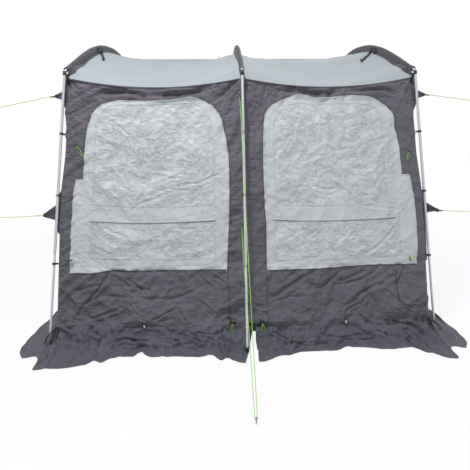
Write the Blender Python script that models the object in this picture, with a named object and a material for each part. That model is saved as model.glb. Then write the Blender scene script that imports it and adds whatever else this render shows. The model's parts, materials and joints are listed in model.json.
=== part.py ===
"""Porch awning for a touring caravan: three hoop poles on three adjustable front legs, two roof panels,
a front with two zipped doors, two side walls, mud flaps, rear rail strip, rear pads and guy ropes.

Metres, +Z up, +Y towards the caravan, +X to the right of someone who looks at the front from outside.
The floor is z = 0. The frame of reference below has y = 0 at the tops of the side legs; the parent
empty at the end moves everything so that y = 0 lies midway between the front and the back of the awning.
"""

import bmesh
import bpy
import math
from mathutils import Matrix, Vector
from mathutils.geometry import delaunay_2d_cdt

# Overall sizes
GAP = 0.0003  # between pieces that touch or are cut by each other
CLOTH = 0.002  # a wall or roof sheet with its seams
OVER = 0.02  # how far a cutting shape runs past what it cuts
HOOP_X = 1.26  # a side hoop's distance from the middle
DEPTH = 1.77  # from the leg tops back to the rail
HEM_Z = 0.13  # the lower seam of the walls, where the mud flaps start
LEG_TOP_Z = 1.876
CORNER_DROP = 0.031  # the front wall's upper corners below the leg tops
CORNER_TOP_Z = LEG_TOP_Z - CORNER_DROP
CORNER_TOP_Y = 0.02
CORNER_LOW_X = 1.322
CORNER_LOW_Y = -0.29
FRONT_BOW = 0.08  # how far the middle of the hem stands in front of its corners
SEAM_SAG = 0.065  # how far the seam at the roof's front edge hangs between two legs
ROOF_SAG = 0.15  # how far a roof panel hangs between two hoops
REAR_X = 1.28  # a side wall's hem at the caravan
CORNER_PULL = 0.017  # how far the clips pull the wall's front corner out of line
CORNER_PULL_SHARES = [(0.0, 0.0), (0.34, 0.7), (0.53, 1.0), (0.68, -0.12), (0.84, -0.24), (1.0, 0.0)]
CORNER_CUT = 0.985  # the side wall's front edge ends here, below the roof's corner
CORNER_STEPS = [k / 8 for k in range(8)] + [CORNER_CUT, 1.0]
EDGE_SHARE = 0.04  # the outer part of the front wall that follows its pulled corner

# Poles
ROUND = 16  # sides of a round piece
ROD_R = 0.006
ROD_END = 0.01  # the rod stops this far short of the rail
SLEEVE_R = 0.0185
SLEEVE_SIDES = 12
SLEEVE_START = 0.06  # the bare rod between the knuckle and the sleeve
TUBE_R = 0.0095
TUBE_WALL = 0.0012
INNER_TUBE_R = TUBE_R - TUBE_WALL - GAP
FOOT_OUT = {"left": 0.105, "centre": 0.0, "right": 0.145}  # the ground is uneven, so the side legs
FOOT_Y = {"left": -0.330, "centre": -0.513, "right": -0.225}  # don't stand quite alike
LEG_TOP_Y = {"left": 0.0, "centre": -0.03, "right": 0.0}
SPLIT_Z = LEG_TOP_Z * 0.3305  # the lower end of the leg's outer tube
LEG_OVERLAP = 0.17
FOOT_R = 0.0125
FOOT_H = 0.024
FOOT_FLOOR = 0.004  # the inner tube's end above the middle of the foot's round end
KNUCKLE_R = 0.0135
KNUCKLE_DOWN = 0.042  # how far the knuckle reaches down the leg
KNUCKLE_UP = 0.012  # its elbow above the leg's top
ARM_LENGTH = 0.046
ARM_WALL = 0.0045
ROD_IN = 0.012  # where the rod starts inside the knuckle's arm
ROD_BEND = 0.006  # the rod's straight part past the arm's end
HOOP_START_Z = LEG_TOP_Z + 0.017
HOOP_RISE = 0.462  # from the knuckle to the hoop's highest point
HOOP_SHARES = [  # (share of the depth, share of the rise) from the knuckle to the rail
    (0.0, 0.0),
    (0.0565, 0.0844),
    (0.1243, 0.2100),
    (0.2712, 0.4740),
    (0.4068, 0.6818),
    (0.5650, 0.8593),
    (0.7627, 0.9827),
    (0.9040, 1.0),
    (1.0, 0.9784),
]
STATIONS = 18  # steps along a hoop, shared by its sleeve, the roof and the side wall
ROOF_COLUMNS = 9
CURVE_STEPS = 24  # fine steps between two given points of a smooth route

# Doors, in distances across the front wall and up its slope
SIDE_FACET = SLEEVE_R * math.cos(math.pi / SLEEVE_SIDES)  # a sleeve's flat side from its middle line
SLEEVE_EDGE = SIDE_FACET + GAP
CORNER_TOP_X = HOOP_X - SLEEVE_EDGE
WALL_A = (CORNER_LOW_X + CORNER_TOP_X) / 2  # half the wall's width at mid height
WALL_B = math.hypot(CORNER_TOP_Y - CORNER_LOW_Y, CORNER_TOP_Z - HEM_Z)  # its slope length
CORNER_STRIP = {"left": 0.073, "right": 0.051}  # the dark strip outside each door
CENTRE_STRIP = {"left": 0.117, "right": 0.149}  # from the middle to each door's zip
DOOR_STEP = 0.065
DOOR_STEP_B = WALL_B * 0.5938
DOOR_TOP_B = WALL_B * 0.9496
PANEL_LOW_B = WALL_B * 0.2134
HINGE_A = {word: WALL_A - strip for word, strip in CORNER_STRIP.items()}
DOOR_ARCH = [  # shares of the way from the zip to the step, and from the step's height to the top
    (0.9951, 0.2661),
    (0.9845, 0.5403),
    (0.9534, 0.7500),
    (0.9029, 0.8710),
    (0.8350, 0.9435),
    (0.7427, 0.9839),
    (0.5000, 0.9919),
    (0.2670, 1.0000),
    (0.1699, 0.9468),
    (0.0874, 0.8468),
    (0.0359, 0.6855),
    (0.0126, 0.5081),
    (0.0029, 0.2984),
    (0.0, 0.1050),
]
WINDOW_UPPER = [  # shares of the door's width from the zip, and of its height from the hem
    (0.8795, 0.5045),
    (0.8740, 0.7553),
    (0.8594, 0.8822),
    (0.8082, 0.9426),
    (0.7078, 0.9668),
    (0.2329, 0.9716),
    (0.1507, 0.9426),
    (0.0977, 0.8882),
    (0.0731, 0.7553),
    (0.0731, 0.5045),
]
WINDOW_LOWER = [(0.8831, 0.2749), (0.8795, 0.4399), (0.0731, 0.4399), (0.0712, 0.2749)]
WINDOW_LAP = 0.014
DOOR_GAP = 0.0004
FILM = 0.0012
OUTLINE_STEP = 0.13  # the farthest that two points of a sheet's outline are apart
SHEET_STEP = 0.15  # the spacing of the points inside a sheet
SURROUND_STEP = 0.16

# Hem, flaps and fittings
FLAP = 0.003
FLAP_STEPS = 12
FLAP_REACH = 0.39  # the front flap's farthest point from the hem's corner
FLAP_FRONT = [  # shares of the hem's half width, and of the reach
    (0.030, 0.705),
    (0.091, 0.604),
    (0.204, 0.496),
    (0.393, 0.468),
    (0.605, 0.439),
    (0.756, 0.579),
    (0.870, 0.771),
    (1.002, 1.0),
]
FLAP_BEND = 0.035  # where the front flap turns on to the ground, in front of the hem
SIDE_REACH = 0.223  # the side flap's farthest point from the corner's width
FLAP_SIDE = [  # shares of the side reach, and of the depth
    (0.664, -0.2938),
    (0.933, -0.2260),
    (1.0, -0.0565),
    (0.955, 0.2260),
    (0.888, 0.6215),
    (0.798, 0.9972),
]
FLAP_SIDE_MID = [
    (0.686, -0.0734),
    (0.529, -0.0339),
    (0.395, 0.0847),
    (0.350, 0.2825),
    (0.283, 0.6215),
    (0.215, 0.9972),
]
FLAP_SIDE_START = -0.0452  # where the side flap's hem starts, as a share of the depth
FLAP_SIDE_END = 0.9972
PAD_X, PAD_Y = 0.085, 0.045
PAD_IN = 0.01  # the pad's middle inside the hem's rear corner
PAD_DROP = 0.045  # the pad's top below the rail
PAD_ROUND = 0.012
BEAD_R = 0.0035
BEAD_SIDES = 12
BEAD_END = 0.004
STRIP_Y = 0.035
CLIP_SHARES = {"top": 0.773, "middle": 0.5437, "low": 0.2932}  # shares of the leg's height
CLIP_R = 0.0132
CLIP_H = 0.016
CLIP_STRAP = 0.0022
SLIDER_IN = 0.012  # the slider stands this far inside the strip's edge
SLIDER_B = 0.05
SLIDER_W = 0.010
SLIDER_H = 0.014
SLIDER_T = 0.0045
PULL_W = 0.006
PULL_DOWN = 0.036
PULL_UP = 0.002
PULL_T = 0.0022
TABS = {  # shares of the corner's height for the low end, the high end and the tip
    "upper": (0.9084, 0.9588, 0.9301),
    "lower": (0.4542, 0.5279, 0.4770),
}
TAB_REACH = {"upper": 0.094, "lower": 0.120}
TAB_TIP = 0.016
TAB_EYE_IN = 0.018
TAB_STEP = 0.06
EYELET_R = 0.005
ROPE_R = 0.002
ROPE_STRAIGHT = 0.03  # a side rope's first part, straight out of the eyelet
ROPE_DIP = 0.002
ROPE_RUNS = {  # from the eyelet to where each side rope ends: outwards, back and up
    ("upper", "left"): (0.4727, -0.0052, -0.088),
    ("upper", "right"): (0.4727, -0.0052, -0.056),
    ("lower", "left"): (0.3749, 0.0010, -0.012),
    ("lower", "right"): (0.3749, 0.0010, -0.020),
}
PEG_Y = -1.215
PEG_R = 0.004
PEG_H = 0.034
PEG_HOOK = 0.022
PEG_HOOK_R = 0.0035
PEG_HOOK_DOWN = 0.007
PEG_ROPE_DOWN = 0.010
FRONT_MOST = CORNER_LOW_Y - FLAP_REACH
REAR_MOST = DEPTH + GAP + PAD_Y
MIDDLE_Y = (FRONT_MOST + REAR_MOST) / 2

SIDES = {"left": -1, "right": 1}

for leftover in list(bpy.data.objects):
    bpy.data.objects.remove(leftover)

awning = bpy.data.objects.new("awning_frame", None)
bpy.context.collection.objects.link(awning)
awning.location = (0, -MIDDLE_Y, 0)

COLOURS = {  # name: (colour, roughness, metallic)
    "wall_cloth": ((0.12, 0.11, 0.145), 0.85, 0.0),
    "roof_cloth": ((0.47, 0.52, 0.57), 0.7, 0.0),
    "door_cloth": ((0.55, 0.58, 0.60), 0.75, 0.0),
    "window_film": ((0.62, 0.66, 0.68), 0.25, 0.0),
    "flap_sheet": ((0.13, 0.14, 0.17), 0.6, 0.0),
    "leg_steel": ((0.55, 0.56, 0.55), 0.3, 1.0),
    "rod_glass_fibre": ((0.35, 0.36, 0.36), 0.5, 0.0),
    "black_plastic": ((0.02, 0.02, 0.022), 0.5, 0.0),
    "foot_rubber": ((0.015, 0.015, 0.015), 0.8, 0.0),
    "rail_vinyl": ((0.60, 0.60, 0.60), 0.5, 0.0),
    "pad_foam_cloth": ((0.14, 0.13, 0.16), 0.9, 0.0),
    "rope_lime": ((0.35, 0.75, 0.10), 0.7, 0.0),
    "peg_steel": ((0.45, 0.45, 0.46), 0.35, 1.0),
}


def material(name):
    found = bpy.data.materials.get(name)
    if found:
        return found
    colour, roughness, metallic = COLOURS[name]
    made = bpy.data.materials.new(name)
    made.use_nodes = True
    shader = made.node_tree.nodes["Principled BSDF"]
    shader.inputs["Base Color"].default_value = (*colour, 1)
    shader.inputs["Roughness"].default_value = roughness
    shader.inputs["Metallic"].default_value = metallic
    return made


def add(name, mesh_or_curve, colour, parent=awning):
    made = bpy.data.objects.new(name, mesh_or_curve)
    bpy.context.collection.objects.link(made)
    made.parent = parent
    mesh_or_curve.materials.append(material(colour))
    return made


def mesh_of(name, points, faces):
    """A closed mesh with its faces turned outwards."""
    built = bmesh.new()
    verts = [built.verts.new(p) for p in points]
    for face in faces:
        built.faces.new([verts[i] for i in face])
    bmesh.ops.recalc_face_normals(built, faces=built.faces)
    mesh = bpy.data.meshes.new(name)
    built.to_mesh(mesh)
    built.free()
    return mesh


def smooth(route, count):
    """count + 1 points, evenly spaced along a smooth curve through the route's points."""
    knots = [Vector(p) for p in route]
    ends = [2 * knots[0] - knots[1]] + knots + [2 * knots[-1] - knots[-2]]
    fine = []
    for i in range(1, len(ends) - 2):
        before, here, there, after = ends[i - 1 : i + 3]
        for k in range(CURVE_STEPS):
            t = k / CURVE_STEPS
            fine.append(
                0.5 * (2 * here + (there - before) * t + (2 * before - 5 * here + 4 * there - after) * t * t
                       + (3 * here - before - 3 * there + after) * t ** 3)
            )
    fine.append(knots[-1])
    far = [0.0]
    for a, b in zip(fine, fine[1:]):
        far.append(far[-1] + (b - a).length)
    found, k = [], 0
    for step in range(count + 1):
        want = far[-1] * step / count
        while k < len(far) - 2 and far[k + 1] < want:
            k += 1
        share = (want - far[k]) / max(far[k + 1] - far[k], 1e-12)
        found.append(fine[k].lerp(fine[k + 1], min(share, 1)))
    return found


# Sheets
def grid_sheet(name, rows, ways, thick, colour, parent=awning):
    """A closed sheet on rows of middle points; ways holds each point's thickness direction."""
    count, across = len(rows), len(rows[0])
    points = [p + w * thick / 2 for r, s in zip(rows, ways) for p, w in zip(r, s)]
    points += [p - w * thick / 2 for r, s in zip(rows, ways) for p, w in zip(r, s)]
    back = count * across
    faces = []
    for i in range(count - 1):
        for j in range(across - 1):
            a = i * across + j
            b, c, d = a + 1, a + across + 1, a + across
            faces += [(a, b, c), (a, c, d), (back + a, back + c, back + b), (back + a, back + d, back + c)]
    rim = list(range(across))
    rim += [i * across + across - 1 for i in range(1, count)]
    rim += [(count - 1) * across + j for j in range(across - 2, -1, -1)]
    rim += [i * across for i in range(count - 2, 0, -1)]
    for a, b in zip(rim, rim[1:] + rim[:1]):
        faces.append((a, b, back + b, back + a))
    return add(name, mesh_of(name, points, faces), colour, parent)


def inside(p, loop):
    hit = False
    for (ax, ay), (bx, by) in zip(loop, loop[1:] + loop[:1]):
        if (ay > p[1]) != (by > p[1]) and p[0] < (bx - ax) * (p[1] - ay) / (by - ay) + ax:
            hit = not hit
    return hit


def dense(loop, spacing):
    """The closed loop with points at most that far apart."""
    out = []
    for a, b in zip(loop, loop[1:] + loop[:1]):
        a, b = Vector(a), Vector(b)
        steps = max(1, math.ceil((b - a).length / spacing - 1e-6))
        out += [tuple(a.lerp(b, k / steps)) for k in range(steps)]
    return out


def inset(loop, by):
    """The loop moved inwards by that distance, point for point."""
    area = sum(a[0] * b[1] - b[0] * a[1] for a, b in zip(loop, loop[1:] + loop[:1]))
    turn = 1 if area > 0 else -1
    out = []
    for before, here, after in zip(loop[-1:] + loop[:-1], loop, loop[1:] + loop[:1]):
        one = (Vector(here) - Vector(before)).normalized()
        two = (Vector(after) - Vector(here)).normalized()
        n1, n2 = Vector((-one.y, one.x)) * turn, Vector((-two.y, two.x)) * turn
        bisector = (n1 + n2).normalized()
        out.append(tuple(Vector(here) + bisector * by / max(bisector.dot(n1), 0.4)))
    return out


def panel(name, loop, place, thick, spacing, colour, holes=(), depth=0.0, parent=awning):
    """A closed sheet cut to a flat outline and laid on a surface.

    place(a, b) gives a point of the surface and the direction of the sheet's thickness there.
    """
    loops = [loop, *holes]
    flat, edges = [], []
    for one in loops:
        first = len(flat)
        flat += [Vector(p) for p in one]
        edges += [(first + k, first + (k + 1) % len(one)) for k in range(len(one))]
    low = [min(p[k] for p in loop) for k in (0, 1)]
    high = [max(p[k] for p in loop) for k in (0, 1)]
    counts = [max(1, round((high[k] - low[k]) / spacing)) for k in (0, 1)]
    rim = list(flat)
    for i in range(1, counts[0]):
        for j in range(1, counts[1]):
            p = Vector((low[0] + (high[0] - low[0]) * i / counts[0], low[1] + (high[1] - low[1]) * j / counts[1]))
            free = inside(p, loop) and not any(inside(p, hole) for hole in holes)
            if free and min((p - q).length for q in rim) > 0.45 * spacing:
                flat.append(p)
    verts, _, triangles = delaunay_2d_cdt(flat, edges, [], 1, 1e-6, False)[:3]
    kept = []
    for t in triangles:
        mid = sum((verts[i] for i in t), Vector((0, 0))) / 3
        if inside(mid, loop) and not any(inside(mid, hole) for hole in holes):
            kept.append(tuple(t))
    placed = [place(v[0], v[1]) for v in verts]
    back = len(verts)
    points = [p + w * (depth + thick / 2) for p, w in placed] + [p + w * (depth - thick / 2) for p, w in placed]
    sides = {}
    for t in kept:
        for k in range(3):
            a, b = t[k], t[(k + 1) % 3]
            sides[(a, b)] = sides.get((a, b), 0) + 1
    faces = kept + [tuple(back + i for i in reversed(t)) for t in kept]
    faces += [(b, a, back + a, back + b) for a, b in sides if (b, a) not in sides]
    used = sorted({i for face in faces for i in face})
    new = {old: k for k, old in enumerate(used)}
    mesh = mesh_of(name, [points[i] for i in used], [[new[i] for i in face] for face in faces])
    return add(name, mesh, colour, parent)


# Round and boxy pieces
def aim(direction):
    return Vector(direction).to_track_quat("Z", "Y").to_matrix().to_4x4()


def cylinder(name, start, end, radius, sides=16, colour=None, radius2=None, parent=None):
    start, end = Vector(start), Vector(end)
    built = bmesh.new()
    bmesh.ops.create_cone(built, cap_ends=True, segments=sides, radius1=radius,
                          radius2=radius if radius2 is None else radius2, depth=(end - start).length)
    mesh = bpy.data.meshes.new(name)
    built.to_mesh(mesh)
    built.free()
    mesh.transform(Matrix.Translation((start + end) / 2) @ aim(end - start))
    if colour:
        return add(name, mesh, colour, parent or awning)
    return helper(name, mesh)


def helper(name, mesh):
    made = bpy.data.objects.new(name, mesh)
    bpy.context.collection.objects.link(made)
    made.parent = awning
    made.hide_render = True
    made.display_type = "WIRE"
    return made


def box(name, frame, low, high):
    """A helper box between two corners, given in the frame's own axes."""
    built = bmesh.new()
    bmesh.ops.create_cube(built, size=1)
    mesh = bpy.data.meshes.new(name)
    built.to_mesh(mesh)
    built.free()
    low, high = Vector(low), Vector(high)
    mesh.transform(frame @ Matrix.Translation((low + high) / 2) @ Matrix.Diagonal((*(high - low), 1)))
    return helper(name, mesh)


def ball(name, middle, radius, sides=16):
    built = bmesh.new()
    bmesh.ops.create_uvsphere(built, u_segments=sides, v_segments=sides // 2, radius=radius)
    mesh = bpy.data.meshes.new(name)
    built.to_mesh(mesh)
    built.free()
    mesh.transform(Matrix.Translation(middle))
    return helper(name, mesh)


def combine(target, others, operation):
    for other in others:
        step = target.modifiers.new(other.name, "BOOLEAN")
        step.object = other
        step.operation = operation
        step.solver = "EXACT"


def round_off(made):
    """Smooth shading on a round piece, with its rims kept sharp."""
    made.data.shade_smooth()
    made.data.set_sharp_from_angle(angle=math.radians(40))


def rope(name, line, radius, colour):
    curve = bpy.data.curves.new(name, "CURVE")
    curve.dimensions = "3D"
    curve.bevel_depth = radius
    curve.bevel_resolution = 2
    curve.use_fill_caps = True
    spline = curve.splines.new("POLY")
    spline.points.add(len(line) - 1)
    for point, place in zip(spline.points, line):
        point.co = (*place, 1)
    return add(name, curve, colour)


# The front wall's surface
FRONT_WAY = Vector((0, -1, 0))


def pull(v):
    """How far the wall's corner is out of line at a share of its height."""
    for (v0, x0), (v1, x1) in zip(CORNER_PULL_SHARES, CORNER_PULL_SHARES[1:]):
        if v <= v1:
            return CORNER_PULL * (x0 + (x1 - x0) * (v - v0) / (v1 - v0))
    return 0.0


def hem(u):
    return Vector((u * CORNER_LOW_X, CORNER_LOW_Y - FRONT_BOW * (1 - u * u), HEM_Z))


def seam(u):
    return Vector((u * CORNER_TOP_X, CORNER_TOP_Y, CORNER_TOP_Z - SEAM_SAG * (1 - (2 * abs(u) - 1) ** 2)))


def front(a, b):
    """The front wall at a metres across and b metres up its slope, and its thickness direction."""
    u, v = a / WALL_A, b / WALL_B
    at_edge = max(0.0, (abs(u) - 1 + EDGE_SHARE) / EDGE_SHARE)
    p = hem(u).lerp(seam(u), v)
    p.x += math.copysign(pull(v) * at_edge, u)
    way = FRONT_WAY.copy()
    if v > 0.9999:
        way.z = 1
    elif abs(u) > 0.9990 and v < CORNER_CUT + 0.001:
        way.x = math.copysign(1, u)
    return p, way


def corner(side, v):
    return front(side * WALL_A, v * WALL_B)[0]


def corner_at(side, z):
    return corner(side, (z - HEM_Z) / (CORNER_TOP_Z - HEM_Z))


# Doors' outlines
def side_loop(points, side):
    return [(side * a, b) for a, b in points]


def window(shares, word):
    across = HINGE_A[word] - CENTRE_STRIP[word]
    return [(SIDES[word] * (CENTRE_STRIP[word] + across * a), DOOR_TOP_B * b) for a, b in shares]


def door(word):
    """A door's outline from the foot of its hinge edge up, over the arch and down the zip to the hem."""
    hinge, zip_a = HINGE_A[word], CENTRE_STRIP[word]
    step = hinge - DOOR_STEP
    arch = [(zip_a + (step - zip_a) * a, DOOR_STEP_B + (DOOR_TOP_B - DOOR_STEP_B) * b) for a, b in DOOR_ARCH]
    return [(hinge, 0.0), (hinge, DOOR_STEP_B), (step, DOOR_STEP_B), *arch, (zip_a, 0.0)]


# Front surround: one sheet from corner to corner with the two door openings cut up from its hem
def surround_loop():
    """The outline from the left corner along the hem, round both doors, up the right corner and back."""
    loop = [(-WALL_A, 0.0)]
    for word, side in SIDES.items():
        cut = [p for p in side_loop(dense(door(word), OUTLINE_STEP), side) if p[1] > 0]
        path = [(side * HINGE_A[word], 0.0), *cut, (side * CENTRE_STRIP[word], 0.0)]
        loop += path if side < 0 else reversed(path)
    loop.append((WALL_A, 0.0))
    loop += [(WALL_A, v * WALL_B) for v in CORNER_STEPS[1:]]
    inner = SLEEVE_EDGE / CORNER_TOP_X
    us = [1 + (inner - 1) * k / ROOF_COLUMNS for k in range(1, ROOF_COLUMNS + 1)]
    loop += [(u * WALL_A, WALL_B) for u in us]
    loop += [(-u * WALL_A, WALL_B) for u in reversed(us)]
    loop += [(-WALL_A, v * WALL_B) for v in reversed(CORNER_STEPS[1:])]
    return loop


panel("front_surround", inset(surround_loop(), GAP / 2), front, CLOTH, SURROUND_STEP, "wall_cloth")

for word, side in SIDES.items():
    pivot = bpy.data.objects.new(f"door_hinge_{word}", None)
    bpy.context.collection.objects.link(pivot)
    pivot.parent = awning
    hinge, zip_a = HINGE_A[word], CENTRE_STRIP[word]
    low = front(side * hinge, 0.0)[0] + FRONT_WAY * CLOTH / 2
    pivot.location = low
    low_part = [(hinge, GAP), (hinge, PANEL_LOW_B), (zip_a, PANEL_LOW_B), (zip_a, GAP)]
    skirt = inset(dense(side_loop(low_part, side), OUTLINE_STEP), DOOR_GAP)
    upper = [(a, max(b, PANEL_LOW_B)) for a, b in side_loop(door(word), side)]
    upper = inset(dense(upper, OUTLINE_STEP), DOOR_GAP)
    tops = dense(window(WINDOW_UPPER, word), SHEET_STEP)
    lows = dense(window(WINDOW_LOWER, word), SHEET_STEP)
    pieces = [
        panel(f"door_skirt_{word}", skirt, front, CLOTH, SHEET_STEP, "wall_cloth", parent=pivot),
        panel(f"door_panel_{word}", upper, front, CLOTH, SHEET_STEP, "door_cloth", holes=(tops, lows),
              parent=pivot),
    ]
    behind = -(CLOTH + FILM) / 2 - 2 * GAP
    for part_word, shares in (("upper", WINDOW_UPPER), ("lower", WINDOW_LOWER)):
        lapped = inset(dense(window(shares, word), SHEET_STEP), -WINDOW_LAP)
        pieces.append(panel(f"window_{part_word}_{word}", lapped, front, FILM, SHEET_STEP, "window_film",
                            depth=behind, parent=pivot))
    for piece in pieces:
        piece.data.transform(Matrix.Translation(-low))

# Hoops: rod, sleeve and the stations that the roof and the side walls share
profile = smooth([(DEPTH * y, HOOP_START_Z + HOOP_RISE * z, 0) for y, z in HOOP_SHARES], STATIONS)
profile = [Vector((0, p.x, p.y)) for p in profile]


def lean_out(k):
    """The direction square to the hoop, upwards, at a station."""
    before, after = profile[max(k - 1, 0)], profile[min(k + 1, STATIONS)]
    along = (after - before).normalized()
    return Vector((0, -along.z, along.y))


def sleeve(name, x):
    rings = []
    start = profile[0].lerp(profile[1], SLEEVE_START / (profile[1] - profile[0]).length)
    stations = [(start, lean_out(0))] + [(profile[k], lean_out(k)) for k in range(1, STATIONS + 1)]
    for radius in (SLEEVE_R, SLEEVE_R - CLOTH):
        for middle, up in stations:
            ring = []
            for s in range(SLEEVE_SIDES):
                turn = 2 * math.pi * (s + 0.5) / SLEEVE_SIDES
                ring.append(middle + Vector((x, 0, 0)) + radius * (Vector((math.cos(turn), 0, 0)) + up * math.sin(turn)))
            rings.append(ring)
    n, count = SLEEVE_SIDES, len(stations)
    points = [p for ring in rings for p in ring]
    faces = []
    for half in (0, count):
        for i in range(half, half + count - 1):
            for s in range(n):
                a, b = i * n + s, i * n + (s + 1) % n
                faces.append((a, b, b + n, a + n))
    for i in (0, count - 1):
        for s in range(n):
            a, b = i * n + s, i * n + (s + 1) % n
            faces.append((a, b, b + count * n, a + count * n))
    made = add(name, mesh_of(name, points, faces), "wall_cloth")
    round_off(made)


HOOPS = {"left": -HOOP_X, "centre": 0.0, "right": HOOP_X}
for word, x in HOOPS.items():
    sleeve(f"hoop_sleeve_{word}", x)

# Roof panels, from the front seam to the rail
def roof(word, side):
    rows, ways = [], []
    inner, outer = SLEEVE_EDGE, HOOP_X - SLEEVE_EDGE
    for k in range(0, STATIONS + 1):
        row, row_ways = [], []
        for j in range(ROOF_COLUMNS + 1):
            share = j / ROOF_COLUMNS
            x = inner + (outer - inner) * share
            if k == 0:
                p = seam(side * x / CORNER_TOP_X)
                way = Vector((0, -1, 1))
            else:
                across = 1 - (2 * share - 1) ** 2
                grow = math.sin(math.pi * min(1, (k / STATIONS) ** 0.8)) ** 0.7 if k < STATIONS else 0
                p = profile[k].copy()
                p.z -= across * (ROOF_SAG * grow + SEAM_SAG * (1 - k / STATIONS) ** 3)
                p.x = side * x
                way = lean_out(k)
            row.append(p)
            row_ways.append(way)
        rows.append(row)
        ways.append(row_ways)
    rows[0] = [p + (q - p).normalized() * GAP / 2 for p, q in zip(rows[0], rows[1])]
    for j in (0, -1):
        rows[0][j].x = rows[1][j].x
    grid_sheet(f"roof_{word}", rows, ways, CLOTH, "roof_cloth")


for word, side in SIDES.items():
    roof(word, side)

# Side walls, from the front corner to the rail, below the side hoop's sleeve
def side_wall(word, side):
    rows, ways = [], []
    steps = CORNER_STEPS[:-1]
    for k in range(STATIONS + 1):
        y_share = profile[k].y / DEPTH
        low = Vector((side * (CORNER_LOW_X + (REAR_X - CORNER_LOW_X) * y_share),
                      CORNER_LOW_Y + (DEPTH - CORNER_LOW_Y) * y_share, HEM_Z + GAP / 2))
        high = profile[k] - lean_out(k) * SLEEVE_EDGE
        high.x = side * HOOP_X
        row, row_ways = [], []
        for v in steps:
            if k == 0:
                p = corner(side, v)
                p.y += GAP / 2
                p.x += side * GAP / 2
                way = Vector((side, -1, 0))
            else:
                p = low.lerp(high, v / CORNER_CUT)
                way = Vector((side, 0, 0))
            row.append(p)
            row_ways.append(way)
        row[0].z = HEM_Z + GAP / 2
        rows.append(row)
        ways.append(row_ways)
    grid_sheet(f"side_wall_{word}", rows, ways, CLOTH, "wall_cloth")


for word, side in SIDES.items():
    side_wall(word, side)

# Mud flaps: each hangs from the hem, bends outwards and lies on the ground
def flap(name, rails, way_first):
    """A sheet over three rails: the hem, the bend and the outer edge on the ground."""
    rows, ways = [], []
    for top, mid, out in zip(*rails):
        row = []
        for t in (0, 0.25, 0.5, 0.75, 1):
            row.append(top * (1 - t) ** 2 + mid * 2 * t * (1 - t) + out * t * t)
        row_ways = [way_first] * 2 + [Vector((0, 0, 1)) + way_first * 0.4] + [Vector((0, 0, 1))] * 2
        rows.append(row)
        ways.append(row_ways)
    grid_sheet(name, rows, ways, FLAP, "flap_sheet")


FLOOR_Z = FLAP / 2
for word, side in SIDES.items():
    route = []
    for across, far in FLAP_FRONT:
        p = hem(side * across)
        route.append((p.x, p.y - FLAP_REACH * far, FLOOR_Z))
    outer = smooth(route, FLAP_STEPS)
    top, mid = [], []
    for k, far in enumerate(outer):
        u = side * (FLAP_FRONT[0][0] + (1 - FLAP_FRONT[0][0]) * k / FLAP_STEPS)
        p = hem(u)
        p.z = HEM_Z - GAP / 2
        top.append(p)
        mid.append(Vector(((p.x + far.x) / 2, p.y - FLAP_BEND, FLOOR_Z)))
    flap(f"mud_flap_front_{word}", (top, mid, outer), Vector((0, -1, 0)))

    outer, bend = [
        smooth([(side * (CORNER_LOW_X + SIDE_REACH * x), DEPTH * y, FLOOR_Z) for x, y in shares], FLAP_STEPS)
        for shares in (FLAP_SIDE, FLAP_SIDE_MID)
    ]
    top = []
    for k in range(FLAP_STEPS + 1):
        y = DEPTH * (FLAP_SIDE_START + (FLAP_SIDE_END - FLAP_SIDE_START) * k / FLAP_STEPS)
        y_share = (y - CORNER_LOW_Y) / (DEPTH - CORNER_LOW_Y)
        top.append(Vector((side * (CORNER_LOW_X + (REAR_X - CORNER_LOW_X) * y_share), y, HEM_Z - GAP / 2)))
    flap(f"mud_flap_side_{word}", (top, bend, outer), Vector((side, 0, 0)))

# Rear: the strip with the bead that runs in the caravan's rail, and a foam pad down each side wall
rear = profile[-1]
strip = box("strip_shape", Matrix.Identity(4), (-CORNER_TOP_X, DEPTH + GAP, rear.z - CLOTH / 2),
            (CORNER_TOP_X, DEPTH + STRIP_Y, rear.z + CLOTH / 2))
strip.name = "rail_strip"
strip.hide_render = False
strip.display_type = "TEXTURED"
strip.data.materials.append(material("rail_vinyl"))
bead = cylinder("bead_shape", (-CORNER_TOP_X - BEAD_END, DEPTH + STRIP_Y, rear.z),
                (CORNER_TOP_X + BEAD_END, DEPTH + STRIP_Y, rear.z), BEAD_R, BEAD_SIDES)
combine(strip, [bead], "UNION")
for word, side in SIDES.items():
    middle = side * (REAR_X - PAD_IN)
    pad = box(f"rear_pad_{word}", Matrix.Identity(4), (middle - PAD_X / 2, DEPTH + GAP, 0),
              (middle + PAD_X / 2, REAR_MOST, rear.z - PAD_DROP))
    pad.hide_render = False
    pad.display_type = "TEXTURED"
    pad.data.materials.append(material("pad_foam_cloth"))
    edge = pad.modifiers.new("rounded_edges", "BEVEL")
    edge.width = PAD_ROUND
    edge.segments = 2

# Legs: outer tube, inner tube with its foot, and the knuckle that holds leg and hoop together
LEGS = {}
for word, x in HOOPS.items():
    foot_x = x + math.copysign(FOOT_OUT[word], x)
    LEGS[word] = (Vector((x, LEG_TOP_Y[word], LEG_TOP_Z)), Vector((foot_x, FOOT_Y[word], FOOT_R)))


def on_leg(word, z):
    top, foot = LEGS[word]
    return foot.lerp(top, (z - foot.z) / (top.z - foot.z))


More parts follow.
